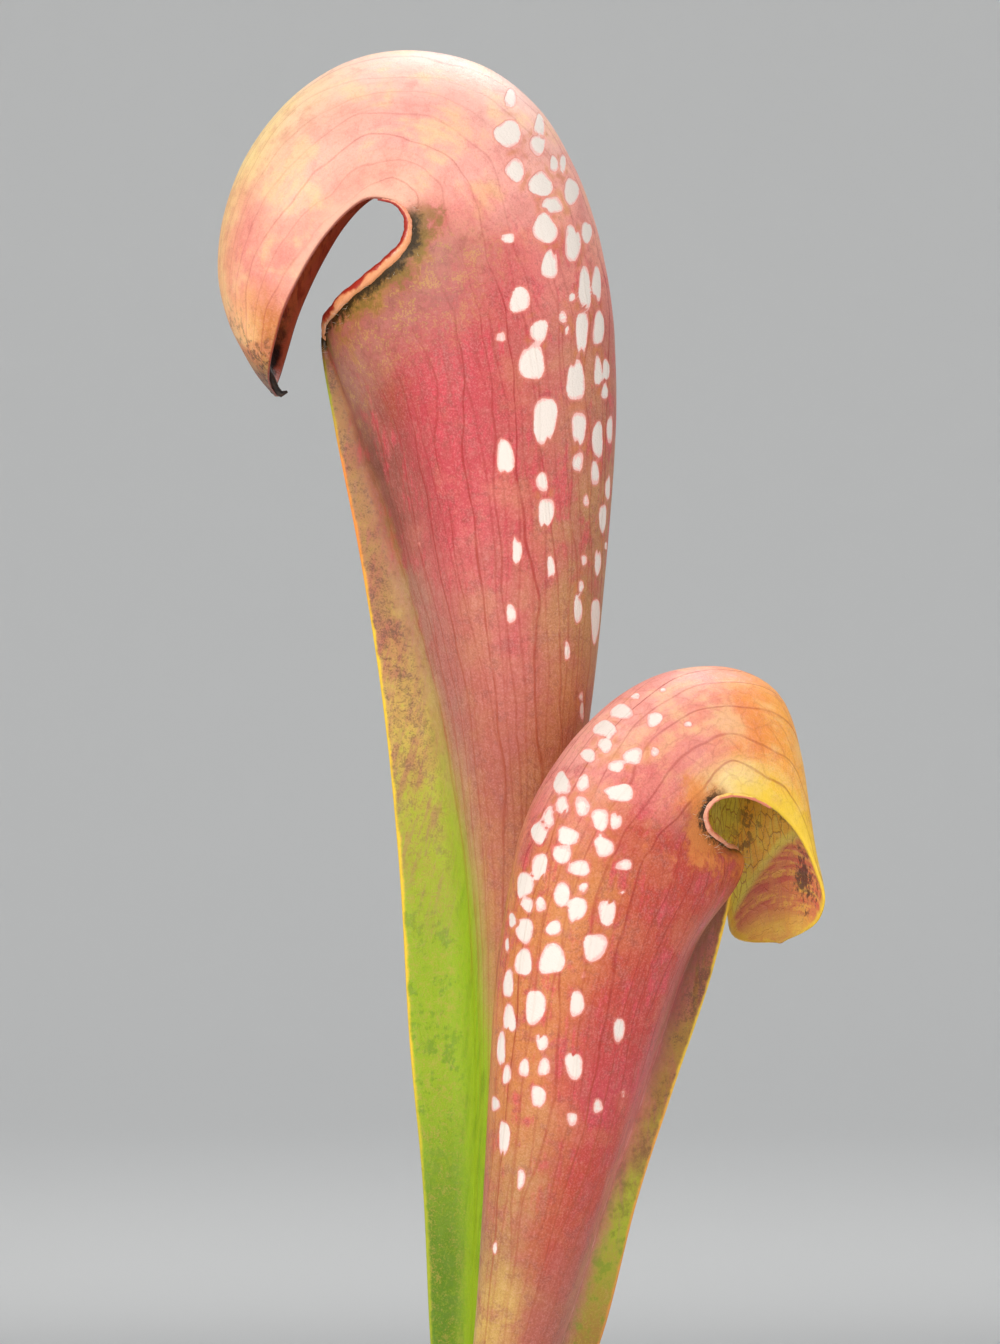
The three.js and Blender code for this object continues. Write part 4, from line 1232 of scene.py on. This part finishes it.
def inner_finish(name, look):
    paint = Finish(name)
    step, fade = paint.step, paint.fade
    on = readings(paint)
    across, along = look.ribs
    ribs = paint.noise(paint.vector(on.girth * across, on.run * along, 3.0), 1.0, 3, 0.6)
    lines = net(paint, on.girth * 2.2, on.run * 2.2, on.patchy * 0.8 + on.broad)
    side = step(on.girth + on.broad * 22 + on.blotch * 10, *look.shade_from)
    specks = step(on.patchy + on.fine * 0.8 + on.broad * 0.6, 0.04, 0.16) * (side * 0.55 + 0.15)

    past = on.climb + on.girth * 0.005 + on.broad * 0.03 - look.fold_at
    low = step(past - on.girth * 0.006 + ribs * 0.1, *[place - look.fold_at for place in look.low_from])
    across, place = look.stain
    stain = abs(on.girth - across) * 0.36 + abs(past - (place - look.fold_at)) * 20
    stain = stain + on.blotch * 5 + on.fine * 5
    brim = paint.layers(
        look.brim,
        (step(ribs + on.patchy * 0.4, -0.02, 0.12) * 0.75, look.brim_streak),
        (low, look.brim_low),
        (step(0 - ribs + on.fine * 0.5, 0.02, 0.14) * 0.5, look.brim_low),
        (fade(stain, 0.2, 1.3) * 0.8, look.stain_colour),
    )
    body = paint.layers(
        look.deep,
        (side, look.shade),
        (step(on.streak, 0.0, 0.14) * 0.35, look.fold),
        (lines * 0.6, look.vein),
        (specks, look.speck),
        (step(past, -0.004, 0.006), brim),
        (fade(abs(past), 0.003, 0.014) * 0.6, look.fold),
        (step(on.climb + on.patchy * 0.2, *look.tip_from), look.tip),
        (fade(on.edge + on.patchy * 2, 0.3, 1.2) * 0.85, look.margin),
    )
    paint.set(
        Base_Color=body,
        Roughness=0.4 + on.patchy * 0.3,
        Normal=paint.bump(on.patchy + on.grain * 0.4 + lines * 0.3 + ribs * 0.8, 0.0003, 0.6),
        Coat_Weight=0.15,
        Coat_Roughness=0.25,
    )
    return paint.material


tall_leaf.data.materials.append(inner_finish("tall leaf inside", TALL_INSIDE))
short_leaf.data.materials.append(inner_finish("short leaf inside", SHORT_INSIDE))
print("inner finishes on both leaves")

# %% [markdown]
# ## The rolled lip
# The mouth's edge is rolled outwards into a bead of 1 to 1.5 mm. It starts up on the hood's margin,
# runs down to the front of the mouth and up the other side, and gets thinner towards its ends. A
# curve with a round bevel could make it. A round section swept along the edge is as short, and its
# points know which way the mouth is, so that the inner side of the bead gets its own colour.

# %% Lip
LIP_STEPS = 181
LIP_SIDES = 20
LIP_END_RADIUS = 0.25


def unit(ways):
    return ways / np.maximum(np.linalg.norm(ways, axis=-1, keepdims=True), 1e-9)


def sweep(path, radii, sides):
    """Points and faces of a round bead of changing radius along a path, closed at both ends."""
    path = np.asarray(path, float)
    along = unit(np.gradient(path, axis=0))
    across = np.cross(np.tile((0.0, 0.0, 1.0), (len(path), 1)), along)
    across[np.linalg.norm(across, axis=1) < 0.05] = (1, 0, 0)
    across = unit(across)
    for k in range(1, len(across)):
        across[k] = unit(across[k - 1] - along[k] * (across[k - 1] @ along[k]))
    other = np.cross(along, across)
    angles = np.linspace(0, 2 * np.pi, sides, endpoint=False)[:, None]
    rings = path[:, None] + np.asarray(radii)[:, None, None] * (
        across[:, None] * np.cos(angles) + other[:, None] * np.sin(angles))
    return rings.reshape(-1, 3), ring_faces(len(path), sides)


def lip_object(leaf, name, reach, radius, finish):
    """A bead from the hood's margin down to the front of the mouth and up its other side."""
    steps = np.linspace(-reach, reach, LIP_STEPS)
    t = leaf.lip + np.abs(steps)
    edges = np.array([-1.0, 1.0])
    outer = section_points(leaf, t, edges, 0, False)
    inner = section_points(leaf, t, edges, WALL, False)
    behind = section_points(leaf, t, 0.9 * edges, 0, False)
    one_side = (steps < 0)[:, None]
    path = np.where(one_side, *((outer + inner) / 2).swapaxes(0, 1))
    inward = np.where(one_side, *unit(outer - behind).swapaxes(0, 1))
    fade = smooth(np.abs(steps), 0.3 * reach, reach)
    radii = radius * (1 - fade) + LIP_END_RADIUS * fade
    radii = radii * (1 + 0.06 * np.sin(steps * 9) + 0.04 * np.sin(steps * 23 + 1))
    points, faces = sweep(path, radii, LIP_SIDES)
    offset = points.reshape(LIP_STEPS, LIP_SIDES, 3) - path[:, None]
    thing = mesh_object(name, points, faces)
    point_values(thing, {
        "inward": ((offset * inward[:, None]).sum(2) / radii[:, None]).ravel(),
        "along": np.repeat(np.abs(steps) / reach, LIP_SIDES),
    })
    return piece(thing, finish)


def lip_finish(name, outside, inside, spots, end):
    """One colour outside, another round the inner edge, and a third where the bead ends on the hood."""
    paint = Finish(name)
    patchy = paint.noise(paint.place(), 420, 4, 0.6)
    fine = paint.noise(paint.place(), 1300, 3, 0.65)
    body = paint.layers(
        outside,
        (paint.step(paint.attribute("along") + patchy, 0.4, 0.8), end),
        (paint.step(patchy + fine * 0.5, 0.03, 0.16) * 0.5, spots),
        (paint.step(paint.attribute("inward") + patchy * 1.2, -0.1, 0.2), inside),
    )
    paint.set(Base_Color=body, Roughness=0.36 + patchy * 0.3, Coat_Weight=0.2, Coat_Roughness=0.2,
              Normal=paint.bump(patchy + fine * 0.6, 0.0003, 0.6))
    return paint.material


tall_lip = lip_object(TALL, "tall_lip", 6.5, 0.75, lip_finish(
    "tall lip", rgb(232, 154, 104), rgb(168, 46, 30), rgb(206, 140, 66), rgb(236, 150, 118)))
short_lip = lip_object(SHORT, "short_lip", 7.5, 0.5, lip_finish(
    "short lip", rgb(244, 166, 136), rgb(228, 128, 96), rgb(196, 104, 70), rgb(248, 206, 80)))
print("lips:", len(tall_lip.data.polygons), "and", len(short_lip.data.polygons), "faces")

# %% [markdown]
# ## The dry tip and the down
# The tall hood ends in a small black hook, where the leaf's tip has dried. Fine white hairs stand
# on the dark band outside each lip. Hair could be grown by a particle system, but such hair is lost
# when the part is exported. So each hair is a thin cone of three sides, placed by a seeded draw
# along the band, and the hook is a round section swept along five points.

# %% Dry tip
TIP_PATH = [
    (-23.9, 6.0, 260.0), (-23.4, 6.0, 258.4), (-22.8, 6.0, 257.2), (-22.0, 5.9, 256.7), (-21.3, 5.8, 257.0),
]
TIP_RADII = [0.5, 0.7, 0.6, 0.4, 0.15]
TIP_SIDES = 12


def plain_finish(name, colour, dark, rough, scale=400.0, depth=0.0003):
    """A mottled finish of two near colours."""
    paint = Finish(name)
    patchy = paint.noise(paint.place(), scale, 4, 0.65)
    paint.set(Base_Color=paint.mix(paint.step(patchy, -0.15, 0.2), dark, colour),
              Roughness=rough + patchy * 0.2, Normal=paint.bump(patchy, depth, 0.7))
    return paint.material


tip = piece(mesh_object("tall_tip", *sweep(TIP_PATH, TIP_RADII, TIP_SIDES)),
            plain_finish("dry tip", rgb(74, 48, 28), rgb(20, 12, 8), 0.5, 900.0))
print("tip faces:", len(tip.data.polygons))

# %% Hairs under the lips
HAIR_COUNT = 60
HAIR_LENGTH = (0.6, 1.4)
HAIR_RADIUS = 0.025
HAIR_SPREAD = 0.45
HAIR_ROOT = 0.05
HAIR_ZONE = (0.6, 2.4)


def hairs(leaf, name, reach, seed):
    """Thin cones of three sides on the skin close under the lip."""
    draw = np.random.default_rng(seed)
    t = leaf.rows[:, None]
    edge = leaf.maps["edge"]
    near = (t > leaf.lip - 1) & (t < leaf.lip + reach) & (edge > HAIR_ZONE[0]) & (edge < HAIR_ZONE[1])
    places = np.argwhere(near)
    rows, columns = places[draw.choice(len(places), HAIR_COUNT)].T
    across, other, normal = [way[rows, columns] for way in grid_frames(leaf.outer)]
    root = leaf.outer[rows, columns] - normal * HAIR_ROOT
    way = unit(normal + draw.normal(0, HAIR_SPREAD, (HAIR_COUNT, 3)))
    end = root + way * draw.uniform(*HAIR_LENGTH, (HAIR_COUNT, 1))
    feet = [root + HAIR_RADIUS * (across * math.cos(a) + other * math.sin(a))
            for a in np.radians([0, 120, 240])]
    base = np.arange(HAIR_COUNT)[:, None, None] * 4
    faces = (base + np.array([[0, 1, 3], [1, 2, 3], [2, 0, 3], [2, 1, 0]])).reshape(-1, 3)
    return mesh_object(name, np.stack([*feet, end], 1).reshape(-1, 3), faces)


hair_finish = plain_finish("white down", rgb(240, 236, 224), rgb(200, 190, 170), 0.5)
piece(hairs(TALL, "tall_down", 6.0, 5), hair_finish)
piece(hairs(SHORT, "short_down", 4.5, 6), hair_finish)
print("hairs:", 2 * HAIR_COUNT)

# %% [markdown]
# ## The crown
# Both leaves rise from a short, knobbly rhizome. Old leaf bases stay on it as dry, papery scales.
# A scale is a cupped blade that narrows to a point and leans outwards. They could be modelled one
# by one, but one formula with a place, a heading, a length and a width makes all six.

# %% Crown
CROWN_CENTRE = np.array([0.0, -0.5, 85.5])
CROWN_SIZE = np.array([9.0, 14.0, 6.4])
RHIZOME_GRID = (40, 73)
SCALE_ROOT = 86.5
SCALE_HALF_THICKNESS = 0.32
SCALE_GRID = (22, 15)
SCALES = [
    # place, heading in degrees, length, width
    ((5.6, 9.5), 45, 9.0, 6.0),
    ((-3.4, 9.3), 130, 7.5, 5.5),
    ((4.6, -8.6), -20, 8.0, 6.0),
    ((-7.2, -7.2), 190, 9.5, 6.0),
    ((-5.4, 0.8), 175, 7.0, 6.5),
    ((5.8, 0.2), 5, 6.5, 6.0),
]


def waves(points, seed, scale, amount):
    """A smooth bumpy value at each point, from a few drawn waves."""
    draw = np.random.default_rng(seed)
    value = np.zeros(points.shape[:-1])
    for k in range(12):
        way = draw.normal(0, 1, 3) * scale * (1 + k * 0.25)
        value += np.sin(points @ way + draw.uniform(0, 6.3)) / (1 + k * 0.3)
    return value * amount / 3


def grid_faces(rows, columns, start=0):
    k, n = np.meshgrid(np.arange(rows - 1), np.arange(columns - 1), indexing="ij")
    a = start + k * columns + n
    return np.stack([a, a + 1, a + columns + 1, a + columns], -1).reshape(-1, 4).tolist()


def rhizome():
    """A long ball with a knobbly skin."""
    rows, columns = RHIZOME_GRID
    up = np.linspace(-np.pi / 2, np.pi / 2, rows)[:, None]
    turn = np.linspace(0, 2 * np.pi, columns)[None, :]
    ball = np.stack([np.cos(up) * np.cos(turn), np.cos(up) * np.sin(turn), np.sin(up) + 0 * turn], -1)
    points = CROWN_CENTRE + ball * CROWN_SIZE
    points = points + ball * waves(points, 3, 0.7, 0.45)[..., None]
    return points.reshape(-1, 3), grid_faces(rows, columns)


def dry_scale(at, heading, length, width):
    """A cupped, ribbed blade, front and back faces joined at the margin."""
    rows, columns = SCALE_GRID
    f = np.linspace(0, 0.985, rows)[:, None]
    side = np.linspace(-1, 1, columns)[None, :]
    half = width / 2 * np.sqrt(1 - f) * (0.75 + 0.5 * f) + 0.3
    turn = math.radians(heading)
    outward = np.array([math.cos(turn), math.sin(turn), 0])
    across = np.array([-math.sin(turn), math.cos(turn), 0])
    flat = np.array([*at, SCALE_ROOT]) + f[..., None] * (0, 0, length) + (half * side)[..., None] * across
    bow = 1.6 * f ** 2 + 0.25 * side ** 2 * half + 0.09 * np.cos(side * 14) * (1 - side ** 2)
    grids = []
    for half_thickness in (SCALE_HALF_THICKNESS, -SCALE_HALF_THICKNESS):
        grid = flat + (bow + half_thickness * (1.05 - side ** 2) ** 0.5)[..., None] * outward
        grids.append(grid + outward * waves(grid, 9, 0.8, 0.25)[..., None] * f[..., None])
    count = rows * columns
    faces = grid_faces(rows, columns) + [face[::-1] for face in grid_faces(rows, columns, count)]
    index = np.arange(count).reshape(rows, columns)
    border = np.concatenate([index[0], index[1:, -1], index[-1, -2::-1], index[-2:0:-1, 0]])
    after = np.roll(border, -1)
    faces += np.stack([after, border, border + count, after + count], 1).tolist()
    return np.concatenate(grids).reshape(-1, 3), faces


def joined(parts):
    """The points and faces of several meshes as those of one."""
    points, faces = [], []
    for some_points, some_faces in parts:
        start = sum(len(group) for group in points)
        faces += [[v + start for v in face] for face in some_faces]
        points.append(some_points)
    return np.concatenate(points), faces


def crown_finish():
    paint = Finish("dry crown")
    at = paint.place()
    stretched = paint.node("ShaderNodeMapping", None, {"Vector": at, "Scale": (1800, 1800, 160)})
    patchy = paint.noise(at, 300, 4, 0.65)
    fibres = paint.noise(stretched, 1.0, 3)
    body = paint.layers(
        rgb(72, 44, 26),
        (paint.step(patchy + fibres * 0.6, -0.2, 0.2), rgb(142, 98, 58)),
        (paint.step(fibres, 0.1, 0.3) * 0.4, rgb(186, 152, 104)),
    )
    paint.set(Base_Color=body, Roughness=0.7 + patchy * 0.2,
              Normal=paint.bump(fibres + patchy * 0.5, 0.0004, 0.8))
    return paint.material


crown = piece(mesh_object("crown_scales", *joined([rhizome()] + [dry_scale(*scale) for scale in SCALES])),
              crown_finish(), "crown")
print("crown faces:", len(crown.data.polygons))

# %% [markdown]
# ## The growing mix
# Such plants grow in peat with perlite, under live moss. The mix is a low mound, a few
# millimetres higher at the crown. Its top is a fine bumpy surface, and on it lie loose grains:
# dark peat crumbs, white perlite and strands of moss. A displacement in the finish could make the
# bumps, but it would be lost in the exported model, so they are real mesh. A seeded draw places the
# grains, and they are the same ones each time.

# %% Mix body
FLOOR_TOP = 3.95
MIX_EDGE_HEIGHT = 83.0
MIX_CROWN_HEIGHT = 88.0
FOOT_RADIUS = 38.0
NECK_RADIUS = 51.0
BAND_FOOT = 85.0
POT_WALL = 1.6
MIX_CLEARANCE = 0.5
MIX_SIDES = 220
MIX_RINGS = 84


def wall_radius(z):
    """The pot's outer radius below its band."""
    return FOOT_RADIUS + (NECK_RADIUS - FOOT_RADIUS) * z / BAND_FOOT


MIX_RADIUS = wall_radius(MIX_EDGE_HEIGHT) - POT_WALL - MIX_CLEARANCE


def mix_height(x, y):
    """The mound, with slow lumps clear of the crown and the rim, and fine bumps."""
    share = np.hypot(x, y) / MIX_RADIUS
    mound = MIX_CROWN_HEIGHT + (MIX_EDGE_HEIGHT - MIX_CROWN_HEIGHT) * smooth(share, 0.15, 1)
    lump = (np.sin(0.61 * x + 1.3) * np.cos(0.53 * y) + 0.6 * np.sin(1.31 * y + 0.7 * x)
            + 0.4 * np.cos(1.7 * x - 1.1 * y))
    calm = smooth(share, 0.16, 0.4) * (1 - smooth(share, 0.9, 1))
    fine = waves(np.stack([x, y, 0 * x], -1), 21, 1.6, 0.4)
    return mound + 0.7 * calm * lump + fine * (1 - smooth(share, 0.96, 1))


def mix_body():
    """The mound's fine top, and plain sides and underside inside the pot."""
    angles = np.linspace(0, 2 * np.pi, MIX_SIDES, endpoint=False)[None, :]
    radii = np.linspace(0.2, MIX_RADIUS, MIX_RINGS)[:, None]
    x, y = radii * np.cos(angles), radii * np.sin(angles)
    rings = [np.stack([x, y, mix_height(x, y)], -1)]
    for z, inset in ((82.0, 0.0), (FLOOR_TOP + 3, 0.0), (FLOOR_TOP, 3.0)):
        radius = wall_radius(z) - POT_WALL - MIX_CLEARANCE - inset
        rings.append(np.stack([radius * np.cos(angles), radius * np.sin(angles), z + 0 * angles], -1))
    grid = np.concatenate(rings)
    faces = [[face[0], *face[:0:-1]] for face in ring_faces(len(grid), MIX_SIDES)]
    return grid.reshape(-1, 3), faces


def mix_finish():
    paint = Finish("peat")
    patchy = paint.noise(paint.place(), 260, 5, 0.7)
    crumbs = paint.noise(paint.place(), 1400, 3, 0.6)
    body = paint.layers(
        rgb(30, 20, 14),
        (paint.step(patchy + crumbs, -0.2, 0.25), rgb(84, 58, 38)),
        (paint.step(crumbs, 0.14, 0.24) * 0.5, rgb(136, 104, 70)),
    )
    paint.set(Base_Color=body, Roughness=0.85 + patchy * 0.1,
              Normal=paint.bump(patchy + crumbs * 0.6, 0.0012, 0.9))
    return paint.material


peat = mix_finish()
mix = piece(mesh_object("peat_mound", *mix_body()), peat, "growing_mix")
print("mix faces:", len(mix.data.polygons))

# %% Grains and moss on the mix
CRUMB_COUNT = 900
PERLITE_COUNT = 170
MOSS_COUNT = 260
GRAIN_CLEARANCE = 13.0
MOSS_CLEARANCE = 15.0
MOSS_STEPS = 8
MOSS_SIDES = 6
MOSS_RADIUS = 0.55


def scattered(draw, count, inner):
    """Seeded places on the mix, clear of the crown."""
    radius = np.sqrt(draw.uniform((inner / MIX_RADIUS) ** 2, 0.965 ** 2, count)) * MIX_RADIUS
    angle = draw.uniform(0, 2 * np.pi, count)
    x, y = radius * np.cos(angle), radius * np.sin(angle)
    return np.stack([x, y, mix_height(x, y)], -1)


def lump_shape():
    """The points and faces of a small ball of 80 triangles."""
    shape = bmesh.new()
    bmesh.ops.create_icosphere(shape, subdivisions=2, radius=1)
    points = np.array([v.co for v in shape.verts])
    faces = np.array([[v.index for v in face.verts] for face in shape.faces])
    shape.free()
    return points, faces


def grains(name, count, sizes, seed):
    """Uneven little balls that sit in the mix."""
    draw = np.random.default_rng(seed)
    ball, faces = lump_shape()
    centres = scattered(draw, count, GRAIN_CLEARANCE)
    size = draw.uniform(*sizes, (count, 1, 1)) * draw.uniform(0.6, 1.2, (count, 1, 3))
    bumps = 1 + draw.normal(0, 0.13, (count, len(ball), 1))
    points = ball[None] * bumps * size + centres[:, None] + (0, 0, 0.25 * size.mean())
    index = (faces[None] + np.arange(count)[:, None, None] * len(ball)).reshape(-1, 3)
    return mesh_object(name, points.reshape(-1, 3), index, smooth=False)


def moss(name, count, seed):
    """Short curled strands that lie on the mix and root in it."""
    draw = np.random.default_rng(seed)
    roots = scattered(draw, count, MOSS_CLEARANCE)
    parts = []
    for root in roots:
        turn, lean, length = draw.uniform(0, 6.3), draw.uniform(0.5, 1.3), draw.uniform(3, 7)
        f = np.linspace(0, 1, MOSS_STEPS)[:, None]
        way = np.array([math.cos(turn) * math.sin(lean), math.sin(turn) * math.sin(lean), math.cos(lean)])
        curl = np.array([-math.sin(turn), math.cos(turn), -0.6]) * draw.uniform(-1, 1)
        path = root + way * f * length + curl * f ** 2 * length * 0.4 - (0, 0, 0.4)
        floor = mix_height(path[:, 0], path[:, 1]) + 0.05
        path[:, 2] = np.maximum(path[:, 2], floor)
        path[0, 2] = floor[0] - 0.5
        slim = np.sin(np.linspace(0.5, 2.9, MOSS_STEPS))
        radii = MOSS_RADIUS * slim * draw.uniform(0.6, 1.1) * (1 + draw.normal(0, 0.15, MOSS_STEPS))
        parts.append(sweep(path, radii, MOSS_SIDES))
    return mesh_object(name, *joined(parts))


piece(grains("peat_crumbs", CRUMB_COUNT, (0.35, 1.1), 31), peat)
piece(grains("perlite", PERLITE_COUNT, (0.6, 1.5), 32),
      plain_finish("white perlite", rgb(226, 222, 212), rgb(170, 164, 150), 0.8, 900.0, 0.0005))
piece(moss("live_moss", MOSS_COUNT, 33),
      plain_finish("moss green", rgb(132, 142, 56), rgb(92, 84, 38), 0.7, 900.0, 0.0005))
print("grains:", CRUMB_COUNT + PERLITE_COUNT, "moss strands:", MOSS_COUNT)

# %% [markdown]
# ## The pot
# The pot is a plain injection moulded nursery pot, matte and nearly black. Its wall leans out to a
# band under a rolled rim. The underside stands on a ring, and seven drainage holes go through the
# floor. It could be built of cylinders, but the outline of its wall, turned round the axis, gives
# the roll, the step and the lean at once. Flat caps close it over and under the floor, and rods
# cut the holes.

# %% Pot
POT_HEIGHT = 95.0
BAND_RADIUS = 53.2
RIM_RADIUS = 55.0
RIM_ROLL = 1.8
RING_WIDTH = 7.0
FLOOR_RISE = 1.6
DRAIN_RADIUS = 4.0
DRAIN_CIRCLE = 21.0
DRAIN_COUNT = 6
POT_SIDES = 144
DRAIN_SIDES = 32
POT_FLOOR_TOP = 3.6


def pot_profile():
    """The outline of the pot's wall, from its underside round the rim to its floor."""
    ring = FOOT_RADIUS - RING_WIDTH
    roll = [(RIM_RADIUS - RIM_ROLL + RIM_ROLL * math.cos(a), POT_HEIGHT - RIM_ROLL + RIM_ROLL * math.sin(a))
            for a in np.radians(np.linspace(-50, 140, 14))]
    foot = [(FOOT_RADIUS - 0.9 + 0.9 * math.sin(a), 0.9 - 0.9 * math.cos(a))
            for a in np.radians([0, 25, 50, 75])]
    walls = [(wall_radius(z), z) for z in np.linspace(2.5, BAND_FOOT - 1.8, 12)]
    step_out = [(NECK_RADIUS + 0.4, BAND_FOOT - 1.2), (BAND_RADIUS - 0.7, BAND_FOOT - 0.75),
                (BAND_RADIUS - 0.15, BAND_FOOT - 0.3), (BAND_RADIUS, BAND_FOOT + 0.4)]
    inside = BAND_RADIUS - POT_WALL
    inner = [(inside, POT_HEIGHT - 2.8), (inside, BAND_FOOT + 1), (NECK_RADIUS - POT_WALL, BAND_FOOT - 1),
             (wall_radius(POT_FLOOR_TOP + 2) - POT_WALL, POT_FLOOR_TOP + 2),
             (wall_radius(POT_FLOOR_TOP) - POT_WALL - 2, POT_FLOOR_TOP)]
    under = [(ring - FLOOR_RISE, FLOOR_RISE), (ring - 0.3, 0.3), (ring, 0.0)]
    return under + foot + walls + step_out + [(BAND_RADIUS, 91.0)] + roll + inner


def drains():
    """Upright rods, one at each drain."""
    points, faces = turned([(DRAIN_RADIUS, -3.0), (DRAIN_RADIUS, 7.0)], DRAIN_SIDES)
    angles = [2 * math.pi * k / DRAIN_COUNT for k in range(DRAIN_COUNT)]
    centres = [(DRAIN_CIRCLE * math.cos(a), DRAIN_CIRCLE * math.sin(a), 0) for a in angles] + [(0, 0, 0)]
    return mesh_object("drains", *joined([(points + centre, faces) for centre in centres]))


def with_drains(pot, cutter):
    """Cuts the drains, keeps the result as the pot's own mesh and drops the cutter."""
    cut = pot.modifiers.new("drains", "BOOLEAN")
    cut.operation = "DIFFERENCE"
    cut.solver = "EXACT"
    cut.object = cutter
    bpy.context.view_layer.update()
    ready = pot.evaluated_get(bpy.context.evaluated_depsgraph_get())
    mesh = bpy.data.meshes.new_from_object(ready)
    pot.modifiers.clear()
    pot.data = mesh
    bpy.data.objects.remove(cutter)
    return pot


def pot_finish():
    paint = Finish("matte pot plastic")
    fine = paint.noise(paint.place(), 3200, 2)
    dusty = paint.noise(paint.place(), 60, 4, 0.6)
    body = paint.mix(paint.step(dusty, 0.02, 0.3) * 0.2, rgb(42, 42, 43), rgb(110, 100, 86))
    paint.set(Base_Color=body, Roughness=0.55 + dusty * 0.25, Normal=paint.bump(fine, 0.0001, 0.5))
    return paint.material


pot = with_drains(mesh_object("nursery_pot", *turned(pot_profile(), POT_SIDES)), drains())
piece(pot, pot_finish(), "pot")
print("pot faces:", len(pot.data.polygons))

# %% [markdown]
# ## Measure and finish
# The last cell notes the box of the imported model and that of the dressed one, so that the two
# can be held against each other.

# %% Measure and finish
size = {"cad": cad_box, "visual": [list(corner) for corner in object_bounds()]}
print("size:", size)
